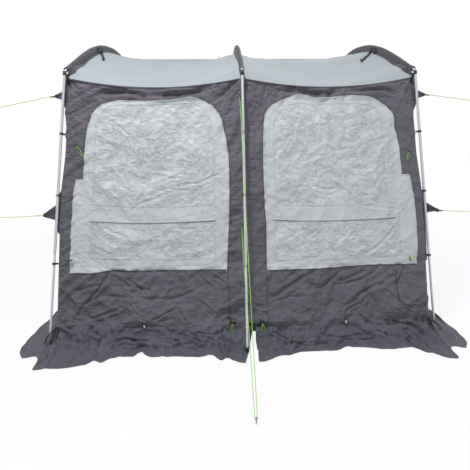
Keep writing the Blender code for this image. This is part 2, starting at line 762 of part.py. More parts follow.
for word, (top, foot) in LEGS.items():
    up = (top - foot).normalized()
    x = HOOPS[word]
    outer = cylinder(f"leg_upper_{word}", on_leg(word, SPLIT_Z), top, TUBE_R, ROUND, "leg_steel")
    bore = cylinder(f"leg_bore_{word}", on_leg(word, SPLIT_Z) - up * OVER, top + up * OVER, TUBE_R - TUBE_WALL,
                    ROUND)
    combine(outer, [bore], "DIFFERENCE")
    round_off(outer)

    slide = bpy.data.objects.new(f"leg_slide_{word}", None)
    bpy.context.collection.objects.link(slide)
    slide.parent = awning
    slide.location = foot
    inner_low = foot + up * FOOT_FLOOR
    inner = cylinder(f"leg_lower_{word}", inner_low - foot, on_leg(word, SPLIT_Z) + up * LEG_OVERLAP - foot,
                     INNER_TUBE_R, ROUND, "leg_steel", parent=slide)
    hollow = cylinder(f"leg_lower_bore_{word}", inner_low - up * OVER,
                      on_leg(word, SPLIT_Z) + up * (LEG_OVERLAP + OVER), INNER_TUBE_R - TUBE_WALL, ROUND)
    combine(inner, [hollow], "DIFFERENCE")
    round_off(inner)
    cap = cylinder(f"leg_foot_{word}", Vector((0, 0, 0)), up * FOOT_H, FOOT_R, ROUND, "foot_rubber", parent=slide)
    dome = ball(f"leg_foot_dome_{word}", foot, FOOT_R, ROUND)
    socket = cylinder(f"leg_foot_bore_{word}", inner_low - up * GAP, foot + up * (FOOT_H + OVER),
                      INNER_TUBE_R + GAP, ROUND)
    combine(cap, [dome], "UNION")
    combine(cap, [socket], "DIFFERENCE")
    round_off(cap)

    start = Vector((x, 0, 0)) + profile[0]
    tangent = (profile[1] - profile[0]).normalized()
    joint_top = top + up * KNUCKLE_UP
    body = cylinder(f"leg_knuckle_{word}", top - up * KNUCKLE_DOWN, joint_top, KNUCKLE_R, ROUND, "black_plastic")
    elbow = ball(f"knuckle_ball_{word}", joint_top, KNUCKLE_R * 1.02, ROUND)
    arm_end = start + tangent * ARM_LENGTH
    arm = cylinder(f"knuckle_arm_{word}", joint_top, arm_end, ROD_R + ARM_WALL, ROUND)
    combine(body, [elbow, arm], "UNION")
    leg_hole = cylinder(f"knuckle_leg_hole_{word}", top - up * (KNUCKLE_DOWN + OVER), top + up * GAP,
                        TUBE_R + GAP, ROUND)
    arm_way = (arm_end - joint_top).normalized()
    rod_hole = cylinder(f"knuckle_rod_hole_{word}", joint_top + arm_way * ROD_IN, arm_end + arm_way * OVER,
                        ROD_R + 1.5 * GAP, ROUND)
    combine(body, [leg_hole, rod_hole], "DIFFERENCE")
    round_off(body)

    line = [joint_top + arm_way * (ROD_IN + GAP), arm_end + arm_way * ROD_BEND]
    line += [Vector((x, 0, 0)) + p for p in profile[1:]]
    line[-1].y -= ROD_END
    rope(f"hoop_rod_{word}", line, ROD_R, "rod_glass_fibre")

# Pole clips: each holds a leg beside the wall's edge with a short strap
def clip(word, level, z):
    top, foot = LEGS[word]
    up = (top - foot).normalized()
    here = on_leg(word, z)
    tube = TUBE_R if z > SPLIT_Z else INNER_TUBE_R
    if word == "centre":
        share = (z - HEM_Z) / (CORNER_TOP_Z - HEM_Z)
        target = front(0, share * WALL_B)[0]
        rest = CLOTH / 2 + 1.6 * GAP
    else:
        side = SIDES[word]
        target = corner_at(side, z)
        rest = 0.0
    for _ in range(6):
        target.z += (here - target).dot(up)
        if word == "centre":
            share = (target.z - HEM_Z) / (CORNER_TOP_Z - HEM_Z)
            target = front(0, share * WALL_B)[0]
        else:
            target = corner_at(side, target.z)
    way = (target - here).normalized()
    across = up.cross(way).normalized()
    way = across.cross(up)
    reach = (target - here).dot(way)
    if word != "centre":
        rest = CLOTH * 0.707 + GAP
        if way.y < 0:
            rest = max(rest, (CLOTH * 0.75 - way.y * CLIP_STRAP / 2) / abs(way.x))
    frame = Matrix((way, across, up)).transposed().to_4x4()
    frame.translation = here
    body = cylinder(f"pole_clip_{word}_{level}", here - up * CLIP_H / 2, here + up * CLIP_H / 2, CLIP_R, ROUND,
                    "black_plastic")
    strap = box(f"clip_strap_{word}_{level}", frame, (CLIP_R * 0.8, -CLIP_STRAP / 2, -CLIP_H * 0.38),
                (reach - rest, CLIP_STRAP / 2, CLIP_H * 0.38))
    hole = cylinder(f"clip_hole_{word}_{level}", here - up * OVER, here + up * OVER, tube + GAP, ROUND)
    mouth = box(f"clip_mouth_{word}_{level}", frame, (-OVER, -tube * 0.72, -OVER), (0, tube * 0.72, OVER))
    combine(body, [strap], "UNION")
    combine(body, [hole, mouth], "DIFFERENCE")


for word in LEGS:
    for level, share in CLIP_SHARES.items():
        clip(word, level, LEG_TOP_Z * share)

# Zip sliders, at the foot of the straight run beside each door
for word, side in SIDES.items():
    slider_a = side * (CENTRE_STRIP[word] - SLIDER_IN)
    here, _ = front(slider_a, SLIDER_B)
    up = (front(slider_a, WALL_B)[0] - here).normalized()
    over = (front(slider_a + SLIDER_IN, SLIDER_B)[0] - here).normalized()
    outwards = over.cross(up).normalized()
    over = up.cross(outwards)
    face = CLOTH / 2 * abs(outwards.y) + 1.3 * GAP
    frame = Matrix((over, outwards, up)).transposed().to_4x4()
    frame.translation = Vector((0, 0, 0))
    slide = bpy.data.objects.new(f"zip_slide_{word}", None)
    bpy.context.collection.objects.link(slide)
    slide.parent = awning
    slide.location = here
    shape = box(f"zip_slider_{word}", frame, (-SLIDER_W / 2, face, -SLIDER_H / 2),
                (SLIDER_W / 2, face + SLIDER_T, SLIDER_H / 2))
    shape.parent = slide
    shape.hide_render = False
    shape.display_type = "TEXTURED"
    shape.data.materials.append(material("black_plastic"))
    handle = box(f"zip_pull_{word}", frame, (-PULL_W / 2, face + SLIDER_T * 0.65, -PULL_DOWN),
                 (PULL_W / 2, face + SLIDER_T * 0.65 + PULL_T, PULL_UP))
    handle.parent = slide
    combine(shape, [handle], "UNION")

# Guy tabs: a reinforced triangle at each corner, with an eyelet near its tip
def tab(word, level, side):
    low_z, high_z, tip_z = [CORNER_TOP_Z * share for share in TABS[level]]
    reach = TAB_REACH[level]
    eye = [(reach - TAB_EYE_IN + EYELET_R * math.cos(math.pi * k / 4), tip_z + EYELET_R * math.sin(math.pi * k / 4))
           for k in range(8)]
    loop = dense([(0.0, low_z), (reach, tip_z - TAB_TIP / 2), (reach, tip_z + TAB_TIP / 2), (0.0, high_z)], TAB_STEP)

    def place(q, z):
        p = corner_at(side, z)
        p.x += side * (q + CLOTH / 2 + 2 * GAP)
        p.y -= CLOTH * 0.75
        return p, FRONT_WAY

    panel(f"guy_tab_{level}_{word}", loop, place, CLOTH, TAB_STEP, "wall_cloth", holes=(eye,))
    return place(reach - TAB_EYE_IN, tip_z)[0]


# Guy ropes: four run out to the sides, and two run from beside the centre leg to one peg in front
for (level, word), (out, back, up) in ROPE_RUNS.items():
    side = SIDES[word]
    eye = tab(word, level, side)
    start = eye + Vector((side * GAP, -CLOTH / 2 - ROPE_R - GAP, 0))
    end = eye + Vector((side * out, back, up))
    first = start + Vector((side * ROPE_STRAIGHT, 0, 0))
    middle = first.lerp(end, 0.5) - Vector((0, 0, ROPE_DIP))
    rope(f"guy_rope_{level}_{word}", smooth([start, first, middle, end], 12), ROPE_R, "rope_lime")

peg_top = Vector((0, PEG_Y, PEG_H))
CENTRE_ROPES = {  # (x, y, z) from the front wall to where the rope nears the peg
    "high": [(-0.020, -0.012, 1.745), (-0.019, -0.12, 1.60), (-0.0145, -0.25, 1.40), (-0.008, -0.65, 0.83)],
    "low": [(-0.020, -0.18, 0.840), (-0.019, -0.33, 0.705), (-0.018, -0.44, 0.605), (-0.012, -0.80, 0.345)],
}
for word, route in CENTRE_ROPES.items():
    beside = (PEG_R + ROPE_R + GAP) * (1 if word == "high" else -1)
    start = front(route[0][0], (route[0][2] - HEM_Z) / (CORNER_TOP_Z - HEM_Z) * WALL_B)[0]
    start.y -= CLOTH / 2 + ROPE_R
    end = peg_top + Vector((beside, ROPE_R, -PEG_ROPE_DOWN))
    rope(f"guy_rope_centre_{word}", smooth([start, *[Vector(p) for p in route[1:]], end], 28), ROPE_R, "rope_lime")

# The peg that both centre ropes are looped on: what shows of it above the ground
peg = cylinder("ground_peg", (0, PEG_Y, 0), peg_top, PEG_R, BEAD_SIDES, "peg_steel")
hook_start = peg_top - Vector((0, 0, PEG_HOOK_DOWN))
hook = cylinder("peg_hook", hook_start, hook_start - Vector((0, PEG_HOOK, 0)), PEG_HOOK_R, BEAD_SIDES)
combine(peg, [hook], "UNION")
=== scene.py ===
"""The look of the porch awning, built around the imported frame: camera, light, cloth, ropes and fittings.

Metres, +Z up, +Y towards the caravan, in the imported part's own frame. The front wall is described by two
distances: a, across from the middle, and b, up its slope from the hem.
"""

import bmesh
import bpy
import json
import math
import numpy as np
from mathutils import Matrix, Vector
from mathutils.geometry import delaunay_2d_cdt
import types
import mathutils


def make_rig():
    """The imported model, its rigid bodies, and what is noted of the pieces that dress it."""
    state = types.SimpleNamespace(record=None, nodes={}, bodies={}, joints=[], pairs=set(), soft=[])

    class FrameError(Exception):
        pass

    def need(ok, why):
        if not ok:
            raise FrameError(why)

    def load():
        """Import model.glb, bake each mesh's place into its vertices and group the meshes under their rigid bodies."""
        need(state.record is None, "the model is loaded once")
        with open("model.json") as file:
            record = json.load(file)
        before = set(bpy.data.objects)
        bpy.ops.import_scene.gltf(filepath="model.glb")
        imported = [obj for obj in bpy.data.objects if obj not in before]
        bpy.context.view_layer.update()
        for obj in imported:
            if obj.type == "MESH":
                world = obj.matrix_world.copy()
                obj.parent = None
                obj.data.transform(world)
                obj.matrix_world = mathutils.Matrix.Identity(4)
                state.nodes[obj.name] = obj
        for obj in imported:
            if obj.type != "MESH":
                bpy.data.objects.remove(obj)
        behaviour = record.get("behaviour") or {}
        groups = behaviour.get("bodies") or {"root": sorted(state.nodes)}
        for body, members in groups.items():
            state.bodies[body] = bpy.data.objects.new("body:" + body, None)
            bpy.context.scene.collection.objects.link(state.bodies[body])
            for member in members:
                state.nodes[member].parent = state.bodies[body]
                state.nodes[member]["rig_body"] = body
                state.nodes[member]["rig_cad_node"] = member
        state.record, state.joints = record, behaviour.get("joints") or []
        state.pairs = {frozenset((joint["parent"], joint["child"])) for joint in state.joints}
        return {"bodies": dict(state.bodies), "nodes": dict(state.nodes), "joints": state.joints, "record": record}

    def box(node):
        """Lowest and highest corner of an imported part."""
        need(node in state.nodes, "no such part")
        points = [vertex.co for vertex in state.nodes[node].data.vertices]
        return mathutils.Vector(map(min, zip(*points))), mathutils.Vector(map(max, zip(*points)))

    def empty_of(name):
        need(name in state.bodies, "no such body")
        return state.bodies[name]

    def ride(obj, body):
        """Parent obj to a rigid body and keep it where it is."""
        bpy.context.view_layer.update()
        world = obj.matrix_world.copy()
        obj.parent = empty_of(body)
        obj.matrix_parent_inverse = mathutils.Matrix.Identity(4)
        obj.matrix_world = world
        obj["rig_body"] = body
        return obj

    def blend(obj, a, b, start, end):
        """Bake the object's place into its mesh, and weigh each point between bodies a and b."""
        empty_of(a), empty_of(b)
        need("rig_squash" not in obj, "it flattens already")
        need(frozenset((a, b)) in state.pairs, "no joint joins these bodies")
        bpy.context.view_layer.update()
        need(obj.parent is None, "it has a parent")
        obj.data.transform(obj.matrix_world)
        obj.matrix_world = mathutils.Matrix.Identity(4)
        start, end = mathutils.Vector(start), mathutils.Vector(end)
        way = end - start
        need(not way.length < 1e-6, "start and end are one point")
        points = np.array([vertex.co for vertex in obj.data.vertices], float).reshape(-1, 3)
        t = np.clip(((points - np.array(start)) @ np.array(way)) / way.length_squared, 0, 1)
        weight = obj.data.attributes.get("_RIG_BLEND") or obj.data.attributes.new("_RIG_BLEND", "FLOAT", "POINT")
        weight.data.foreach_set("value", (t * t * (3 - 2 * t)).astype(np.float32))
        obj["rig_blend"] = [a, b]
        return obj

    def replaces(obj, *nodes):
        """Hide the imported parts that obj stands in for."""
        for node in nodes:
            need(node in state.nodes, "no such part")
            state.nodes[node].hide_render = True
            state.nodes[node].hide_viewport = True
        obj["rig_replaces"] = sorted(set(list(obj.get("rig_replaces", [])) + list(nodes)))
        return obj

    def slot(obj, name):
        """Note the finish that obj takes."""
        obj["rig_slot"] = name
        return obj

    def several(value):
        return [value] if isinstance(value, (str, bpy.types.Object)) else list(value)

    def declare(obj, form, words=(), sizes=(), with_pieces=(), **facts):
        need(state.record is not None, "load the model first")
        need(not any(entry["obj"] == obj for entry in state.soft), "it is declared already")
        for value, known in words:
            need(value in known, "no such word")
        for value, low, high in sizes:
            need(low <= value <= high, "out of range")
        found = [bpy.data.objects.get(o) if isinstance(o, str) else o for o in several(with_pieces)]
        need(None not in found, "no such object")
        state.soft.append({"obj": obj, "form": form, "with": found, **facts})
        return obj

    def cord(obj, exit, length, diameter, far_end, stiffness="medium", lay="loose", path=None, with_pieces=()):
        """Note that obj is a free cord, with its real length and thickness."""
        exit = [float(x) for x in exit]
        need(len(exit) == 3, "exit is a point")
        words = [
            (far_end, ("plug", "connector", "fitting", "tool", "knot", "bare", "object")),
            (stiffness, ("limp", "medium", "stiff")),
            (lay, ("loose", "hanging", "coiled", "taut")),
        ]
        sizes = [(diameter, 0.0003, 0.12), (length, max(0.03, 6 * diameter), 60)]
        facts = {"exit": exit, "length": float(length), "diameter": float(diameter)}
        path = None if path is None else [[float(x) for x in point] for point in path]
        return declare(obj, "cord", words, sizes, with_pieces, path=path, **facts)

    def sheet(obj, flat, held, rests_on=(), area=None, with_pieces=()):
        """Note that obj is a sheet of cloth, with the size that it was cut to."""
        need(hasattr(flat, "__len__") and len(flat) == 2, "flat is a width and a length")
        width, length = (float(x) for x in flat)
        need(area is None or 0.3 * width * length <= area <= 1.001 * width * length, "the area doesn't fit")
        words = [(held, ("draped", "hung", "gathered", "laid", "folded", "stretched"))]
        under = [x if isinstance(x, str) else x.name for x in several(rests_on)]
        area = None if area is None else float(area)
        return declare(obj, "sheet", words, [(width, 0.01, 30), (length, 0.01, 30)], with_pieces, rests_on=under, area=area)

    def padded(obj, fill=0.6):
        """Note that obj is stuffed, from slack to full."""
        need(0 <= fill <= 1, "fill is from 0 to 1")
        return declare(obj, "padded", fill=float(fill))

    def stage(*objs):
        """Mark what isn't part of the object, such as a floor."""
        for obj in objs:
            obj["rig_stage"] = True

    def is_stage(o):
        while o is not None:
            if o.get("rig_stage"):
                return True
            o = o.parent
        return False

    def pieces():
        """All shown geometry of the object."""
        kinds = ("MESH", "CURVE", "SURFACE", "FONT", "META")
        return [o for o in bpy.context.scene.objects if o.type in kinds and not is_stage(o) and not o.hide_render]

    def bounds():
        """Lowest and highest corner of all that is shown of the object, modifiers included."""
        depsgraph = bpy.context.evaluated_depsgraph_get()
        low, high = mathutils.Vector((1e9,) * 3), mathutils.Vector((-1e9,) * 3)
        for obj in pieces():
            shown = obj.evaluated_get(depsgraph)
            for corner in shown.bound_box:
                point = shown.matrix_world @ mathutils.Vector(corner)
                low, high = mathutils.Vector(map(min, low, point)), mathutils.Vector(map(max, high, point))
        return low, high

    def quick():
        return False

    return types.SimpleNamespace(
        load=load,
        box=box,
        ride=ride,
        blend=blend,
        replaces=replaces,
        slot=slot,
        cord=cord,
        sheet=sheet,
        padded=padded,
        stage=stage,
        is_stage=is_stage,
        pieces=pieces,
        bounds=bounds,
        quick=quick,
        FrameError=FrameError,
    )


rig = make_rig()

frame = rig.load()
CAD_BOX = [list(corner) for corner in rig.bounds()]

SIDES = {"left": -1, "right": 1}

# Sizes shared with the part; depths count from the leg tops, MIDDLE_Y in front of the part's origin
MIDDLE_Y = 0.56765
GAP = 0.0003
HOOP_X = 1.26
DEPTH = 1.77
HEM_Z = 0.13
LEG_TOP_Z = 1.876
CORNER_TOP_Z = 1.845
CORNER_TOP_Y = 0.02
CORNER_LOW_X = 1.322
CORNER_LOW_Y = -0.29
FRONT_BOW = 0.08
SEAM_SAG = 0.065
ROOF_SAG = 0.15
REAR_X = 1.28
SLEEVE_R = 0.0185
SLEEVE_START = 0.06
SLEEVE_EDGE = SLEEVE_R * math.cos(math.pi / 12) + GAP
CORNER_TOP_X = HOOP_X - SLEEVE_EDGE
CORNER_PULL = 0.017
CORNER_PULL_SHARES = ([0, 0.34, 0.53, 0.68, 0.84, 1], [0, 0.7, 1, -0.12, -0.24, 0])
EDGE_SHARE = 0.04
HOOP_START_Z = LEG_TOP_Z + 0.017
HOOP_RISE = 0.462
HOOP_SHARES = [(0.0, 0.0), (0.0565, 0.0844), (0.1243, 0.2100), (0.2712, 0.4740), (0.4068, 0.6818),
               (0.5650, 0.8593), (0.7627, 0.9827), (0.9040, 1.0), (1.0, 0.9784)]
WALL_A = (CORNER_LOW_X + CORNER_TOP_X) / 2
WALL_B = math.hypot(CORNER_TOP_Y - CORNER_LOW_Y, CORNER_TOP_Z - HEM_Z)
FOOT = {"left": (-1.365, -0.330), "centre": (0.0, -0.513), "right": (1.405, -0.225)}
LEG_TOP = {"left": (-HOOP_X, 0.0), "centre": (0.0, -0.03), "right": (HOOP_X, 0.0)}
CLIP_LEVELS = ("top", "middle", "low")
ROPE_R = 0.002


# Camera: where the photograph was taken from, with its field of view and tilt
PICTURE = 470
FOCAL = 404.05
HORIZON = 210
YAW, PITCH, ROLL = 0.0294, 0.1479, -0.0086
CAMERA_PLACE = Vector((-0.1479, -3.013 - MIDDLE_Y, 1.3279))


def make_camera():
    """The camera, with its place, turn, tilt and roll as measured from the photograph."""
    data = bpy.data.cameras.new("camera")
    camera = bpy.data.objects.new("camera", data)
    bpy.context.scene.collection.objects.link(camera)
    ahead = Vector((math.sin(YAW) * math.cos(PITCH), math.cos(YAW) * math.cos(PITCH), -math.sin(PITCH)))
    right = Vector((math.cos(YAW), -math.sin(YAW), 0))
    up = right.cross(ahead)
    tilted_right = math.cos(ROLL) * right + math.sin(ROLL) * up
    tilted_up = -math.sin(ROLL) * right + math.cos(ROLL) * up
    turn = Matrix((tilted_right, tilted_up, -ahead)).transposed().to_4x4()
    turn.translation = CAMERA_PLACE
    camera.matrix_world = turn
    data.sensor_fit = "HORIZONTAL"
    data.sensor_width = 36
    data.lens = FOCAL / PICTURE * data.sensor_width
    data.shift_y = (HORIZON - PICTURE / 2) / PICTURE
    data.clip_start, data.clip_end = 0.05, 60
    bpy.context.scene.camera = camera


make_camera()


# Numbers on arrays: lengths and directions, smooth curves, noise and folds
def far_along(line):
    """Each point's distance from the start of a line, measured along it."""
    return np.concatenate([[0], np.cumsum(np.linalg.norm(np.diff(line, axis=0), axis=1))])


def length_of(line):
    """The length of a line of points."""
    return float(np.linalg.norm(np.diff(np.asarray(line, float), axis=0), axis=1).sum())


def unit(way):
    """A direction made one long."""
    return np.asarray(way, float) / np.linalg.norm(way)


def units(ways):
    """The same for each direction in an array."""
    return ways / np.linalg.norm(ways, axis=-1, keepdims=True)


def read(line, spots, at):
    """A line's points at the given places, where spots are the places of the line's own points."""
    return np.stack([np.interp(at, spots, line[:, k]) for k in range(line.shape[1])], -1)


def between(one, two, share):
    """Points at a share of the way from one to two."""
    share = np.asarray(share)[..., None]
    return one * (1 - share) + two * share


def left_of(ahead):
    """Directions on the plane, a quarter turn to the left of those given."""
    return np.stack([-ahead[..., 1], ahead[..., 0]], -1)


def from_ends(t, wide):
    """0 at both ends of a way that t measures from 0 to 1, and 1 further than wide from them."""
    return np.clip(np.minimum(t, 1 - t) / wide, 0, 1)


def smooth(route, count, fine=24):
    """count + 1 points, evenly spaced along a smooth curve through the route's points."""
    knots = np.array(route, float)
    ends = np.vstack([2 * knots[0] - knots[1], knots, 2 * knots[-1] - knots[-2]])
    t = np.arange(fine)[:, None] / fine
    parts = []
    for i in range(1, len(ends) - 2):
        before, here, there, after = ends[i - 1:i + 3]
        parts.append(0.5 * (2 * here + (there - before) * t
                            + (2 * before - 5 * here + 4 * there - after) * t * t
                            + (3 * here - before - 3 * there + after) * t ** 3))
    line = np.vstack(parts + [knots[-1:]])
    far = far_along(line)
    want = np.linspace(0, far[-1], count + 1)
    return read(line, far, want)


class Noise:
    """Smooth waves and broken cells on the plane, the same on every run."""

    SIZE = 256

    def __init__(self, seed):
        drawn = np.random.RandomState(seed)
        self.turn = drawn.rand(self.SIZE, self.SIZE) * 2 * math.pi
        self.spot = drawn.rand(self.SIZE, self.SIZE, 2)

    def wave(self, x, y):
        """Smooth waves between about -1 and 1, one unit long."""
        i, j = np.floor(x).astype(int), np.floor(y).astype(int)
        fx, fy = x - i, y - j
        total = 0
        sx, sy = [f * f * f * (f * (f * 6 - 15) + 10) for f in (fx, fy)]
        for di in (0, 1):
            for dj in (0, 1):
                turn = self.turn[(i + di) % self.SIZE, (j + dj) % self.SIZE]
                slope = np.cos(turn) * (fx - di) + np.sin(turn) * (fy - dj)
                total = total + slope * (sx if di else 1 - sx) * (sy if dj else 1 - sy)
        return total * 1.5

    def cells(self, x, y):
        """0 on the borders between cells, rising to about 1 in their middles."""
        i, j = np.floor(x).astype(int), np.floor(y).astype(int)
        first, second = np.full(x.shape, 9.0), np.full(x.shape, 9.0)
        for di in (-1, 0, 1):
            for dj in (-1, 0, 1):
                spot = self.spot[(i + di) % self.SIZE, (j + dj) % self.SIZE]
                far = np.hypot(i + di + spot[..., 0] - x, j + dj + spot[..., 1] - y)
                second = np.where(far < first, first, np.minimum(second, far))
                first = np.minimum(first, far)
        return second - first

    def facets(self, x, y):
        """Flat triangles that share their edges, at heights from -1 to 1: cloth that was packed."""
        x, y = x + 0.35 * self.wave(x * 0.8 + 2, y * 0.8), y + 0.35 * self.wave(x * 0.8, y * 0.8 + 5)
        skew = (x + y) * 0.366
        x, y = x + skew, y + skew
        i, j = np.floor(x).astype(int), np.floor(y).astype(int)
        fx, fy = x - i, y - j
        at = {(p, q): self.spot[(i + p) % self.SIZE, (j + q) % self.SIZE, 0] * 2 - 1
              for p in (0, 1) for q in (0, 1)}
        below = at[0, 0] + (at[1, 0] - at[0, 0]) * fx + (at[1, 1] - at[1, 0]) * fy
        above = at[0, 0] + (at[0, 1] - at[0, 0]) * fy + (at[1, 1] - at[0, 1]) * fx
        return np.where(fx >= fy, below, above)


def away(a, b, line):
    """Each point's distance to a line of points, and its share of the way along that line."""
    best, share = np.full(a.shape, 9.0), np.zeros(a.shape)
    line = np.array(line, float)
    steps = np.linalg.norm(np.diff(line, axis=0), axis=1)
    total, gone = steps.sum(), 0.0
    for (p, q), step in zip(zip(line, line[1:]), steps):
        if step == 0:
            continue
        along = (q - p) / step
        t = np.clip((a - p[0]) * along[0] + (b - p[1]) * along[1], 0, step)
        far = np.hypot(a - p[0] - along[0] * t, b - p[1] - along[1] * t)
        nearer = far < best
        best = np.where(nearer, far, best)
        share = np.where(nearer, (gone + t) / total, share)
        gone += step
    return best, share


def crease(a, b, line, width, height):
    """A fold along a line: a valley between two low ridges, fading out at both ends."""
    line = np.array(smooth(line, 12)) if len(line) > 2 else np.array(line, float)
    low, high = line.min(0) - 3 * width, line.max(0) + 3 * width
    near = (a > low[0]) & (a < high[0]) & (b > low[1]) & (b < high[1])
    out = np.zeros(a.shape)
    far, share = away(a[near], b[near], line)
    d = (far / width) ** 2
    out[near] = height * (2 * d - 1) * np.exp(-d) * np.sin(math.pi * np.clip(share, 0.02, 0.98)) ** 0.6
    return out


def drag(a, b, pin, count, reach, height, noise, start=0.0):
    """Fine tension folds that fan out from a point where the cloth is held."""
    da, db = a - pin[0], b - pin[1]
    r, turn = np.hypot(da, db), np.arctan2(db, da)
    lines = np.sin(turn * count + 2.5 * noise.wave(turn * 3 + pin[0], r * 4 + pin[1]))
    uneven = 0.4 + 0.8 * np.abs(noise.wave(turn * 5 + 3, np.full_like(turn, pin[1] * 3)))
    return height * lines * uneven * np.exp(-r / reach) * np.clip((r - start) / 0.06, 0, 1)


def inside(a, b, loop):
    """Which points lie inside a closed loop."""
    hit = np.zeros(a.shape, bool)
    for (ax, ay), (bx, by) in zip(loop, loop[1:] + loop[:1]):
        if ay == by:
            continue
        crosses = ((ay > b) != (by > b)) & (a < (bx - ax) * (b - ay) / (by - ay) + ax)
        hit ^= crosses
    return hit


def mirrored(points, side):
    """Points that are written for the right, on the given side."""
    return [(side * a, b) for a, b in points]


# The front wall's surface
def stack(*parts):
    """Coordinates that may differ in shape, as one array of points."""
    return np.stack(np.broadcast_arrays(*parts), -1)


def hem(u):
    """The hem, with u from -1 at the left corner to 1 at the right one."""
    return stack(u * CORNER_LOW_X, CORNER_LOW_Y - FRONT_BOW * (1 - u * u) - MIDDLE_Y, HEM_Z)


def seam(u):
    """The seam between the front wall and the roof, which sags between the poles."""
    sag = SEAM_SAG * (1 - (2 * abs(u) - 1) ** 2)
    return stack(u * CORNER_TOP_X, CORNER_TOP_Y - MIDDLE_Y, CORNER_TOP_Z - sag)


def flat_wall(a, b):
    """The front wall without its folds."""
    a, b = np.asarray(a, float), np.asarray(b, float)
    u, v = a / WALL_A, b / WALL_B
    p = between(hem(u), seam(u), v)
    edge = np.clip((abs(u) - 1 + EDGE_SHARE) / EDGE_SHARE, 0, 1.5)
    p[..., 0] += np.sign(u) * edge * CORNER_PULL * np.interp(v, *CORNER_PULL_SHARES)
    return p


def wall_way(a, b):
    """The direction out of the front wall, towards someone who stands in front of it."""
    h = 0.002
    across = flat_wall(a + h, b) - flat_wall(a - h, b)
    up = flat_wall(a, np.asarray(b, float) + h) - flat_wall(a, np.asarray(b, float) - h)
    return units(np.cross(across, up))


# What the photograph shows of the front: outlines and folds, in metres across and up the slope
DOOR_EDGE = {
    "left": [(1.207, 0), (1.207, 0.36), (1.209, 0.6), (1.208, 0.85), (1.200, 0.985), (1.198, 1.020),
             (1.143, 1.028), (1.142, 1.1), (1.141, 1.2), (1.137, 1.3), (1.128, 1.4), (1.105, 1.5),
             (1.075, 1.555), (1.03, 1.59), (0.98, 1.612), (0.90, 1.630), (0.8, 1.634), (0.65, 1.632),
             (0.55, 1.636), (0.45, 1.645), (0.39, 1.652), (0.34, 1.642), (0.28, 1.612), (0.22, 1.565),
             (0.18, 1.51), (0.155, 1.45), (0.143, 1.38), (0.125, 1.30), (0.112, 1.2), (0.108, 1.1),
             (0.107, 1.0), (0.107, 0.9), (0.110, 0.8), (0.114, 0.7), (0.119, 0.6), (0.124, 0.5),
             (0.128, 0.4), (0.129, 0.372), (0.123, 0.17), (0.120, 0)],
    "right": [(1.222, 0), (1.225, 0.383), (1.228, 0.48), (1.233, 0.58), (1.237, 0.68), (1.237, 0.78),
              (1.232, 0.88), (1.222, 0.98), (1.212, 1.030), (1.158, 1.040), (1.154, 1.1), (1.15, 1.15),
              (1.147, 1.25), (1.143, 1.3), (1.137, 1.35), (1.130, 1.40), (1.125, 1.47), (1.10, 1.52),
              (1.07, 1.56), (1.02, 1.60), (0.98, 1.63), (0.92, 1.648), (0.86, 1.655), (0.8, 1.665),
              (0.7, 1.658), (0.62, 1.655), (0.56, 1.648), (0.52, 1.655), (0.47, 1.668), (0.43, 1.672),
              (0.38, 1.655), (0.33, 1.635), (0.28, 1.61), (0.225, 1.58), (0.190, 1.54), (0.172, 1.5),
              (0.162, 1.45), (0.158, 1.4), (0.153, 1.35), (0.150, 1.3), (0.148, 1.2), (0.147, 1.0),
              (0.149, 0.9), (0.152, 0.8), (0.157, 0.7), (0.157, 0.5), (0.155, 0.376), (0.155, 0)],
}
SKIRT_EDGE = {  # where the dark skirt meets the pale panel, from the hinge to the zip
    "left": [(1.207, 0.36), (1.05, 0.366), (0.92, 0.384), (0.8, 0.386), (0.6, 0.390), (0.45, 0.392),
             (0.3, 0.389), (0.129, 0.385)],
    "right": [(1.225, 0.383), (1.1, 0.389), (1.0, 0.393), (0.9, 0.397), (0.8, 0.398), (0.65, 0.393),
              (0.5, 0.388), (0.3, 0.381), (0.155, 0.376)],
}
WINDOWS = {
    ("upper", "left"): [(1.072, 0.86), (1.068, 1.2), (1.066, 1.45), (1.02, 1.545), (0.97, 1.585),
                        (0.90, 1.600), (0.7, 1.605), (0.5, 1.614), (0.42, 1.616), (0.36, 1.608),
                        (0.30, 1.575), (0.26, 1.53), (0.24, 1.47), (0.22, 1.3), (0.215, 1.1), (0.21, 0.85)],
    ("upper", "right"): [(0.235, 0.85), (0.225, 1.1), (0.222, 1.3), (0.228, 1.42), (0.245, 1.48),
                         (0.28, 1.54), (0.33, 1.585), (0.42, 1.606), (0.6, 1.608), (0.85, 1.608),
                         (0.94, 1.59), (1.0, 1.55), (1.045, 1.48), (1.07, 1.40), (1.09, 1.25),
                         (1.098, 1.1), (1.105, 0.85)],
    ("lower", "left"): [(1.075, 0.475), (1.07, 0.72), (0.215, 0.735), (0.21, 0.47)],
    ("lower", "right"): [(0.21, 0.45), (0.215, 0.72), (1.11, 0.735), (1.105, 0.46)],
}
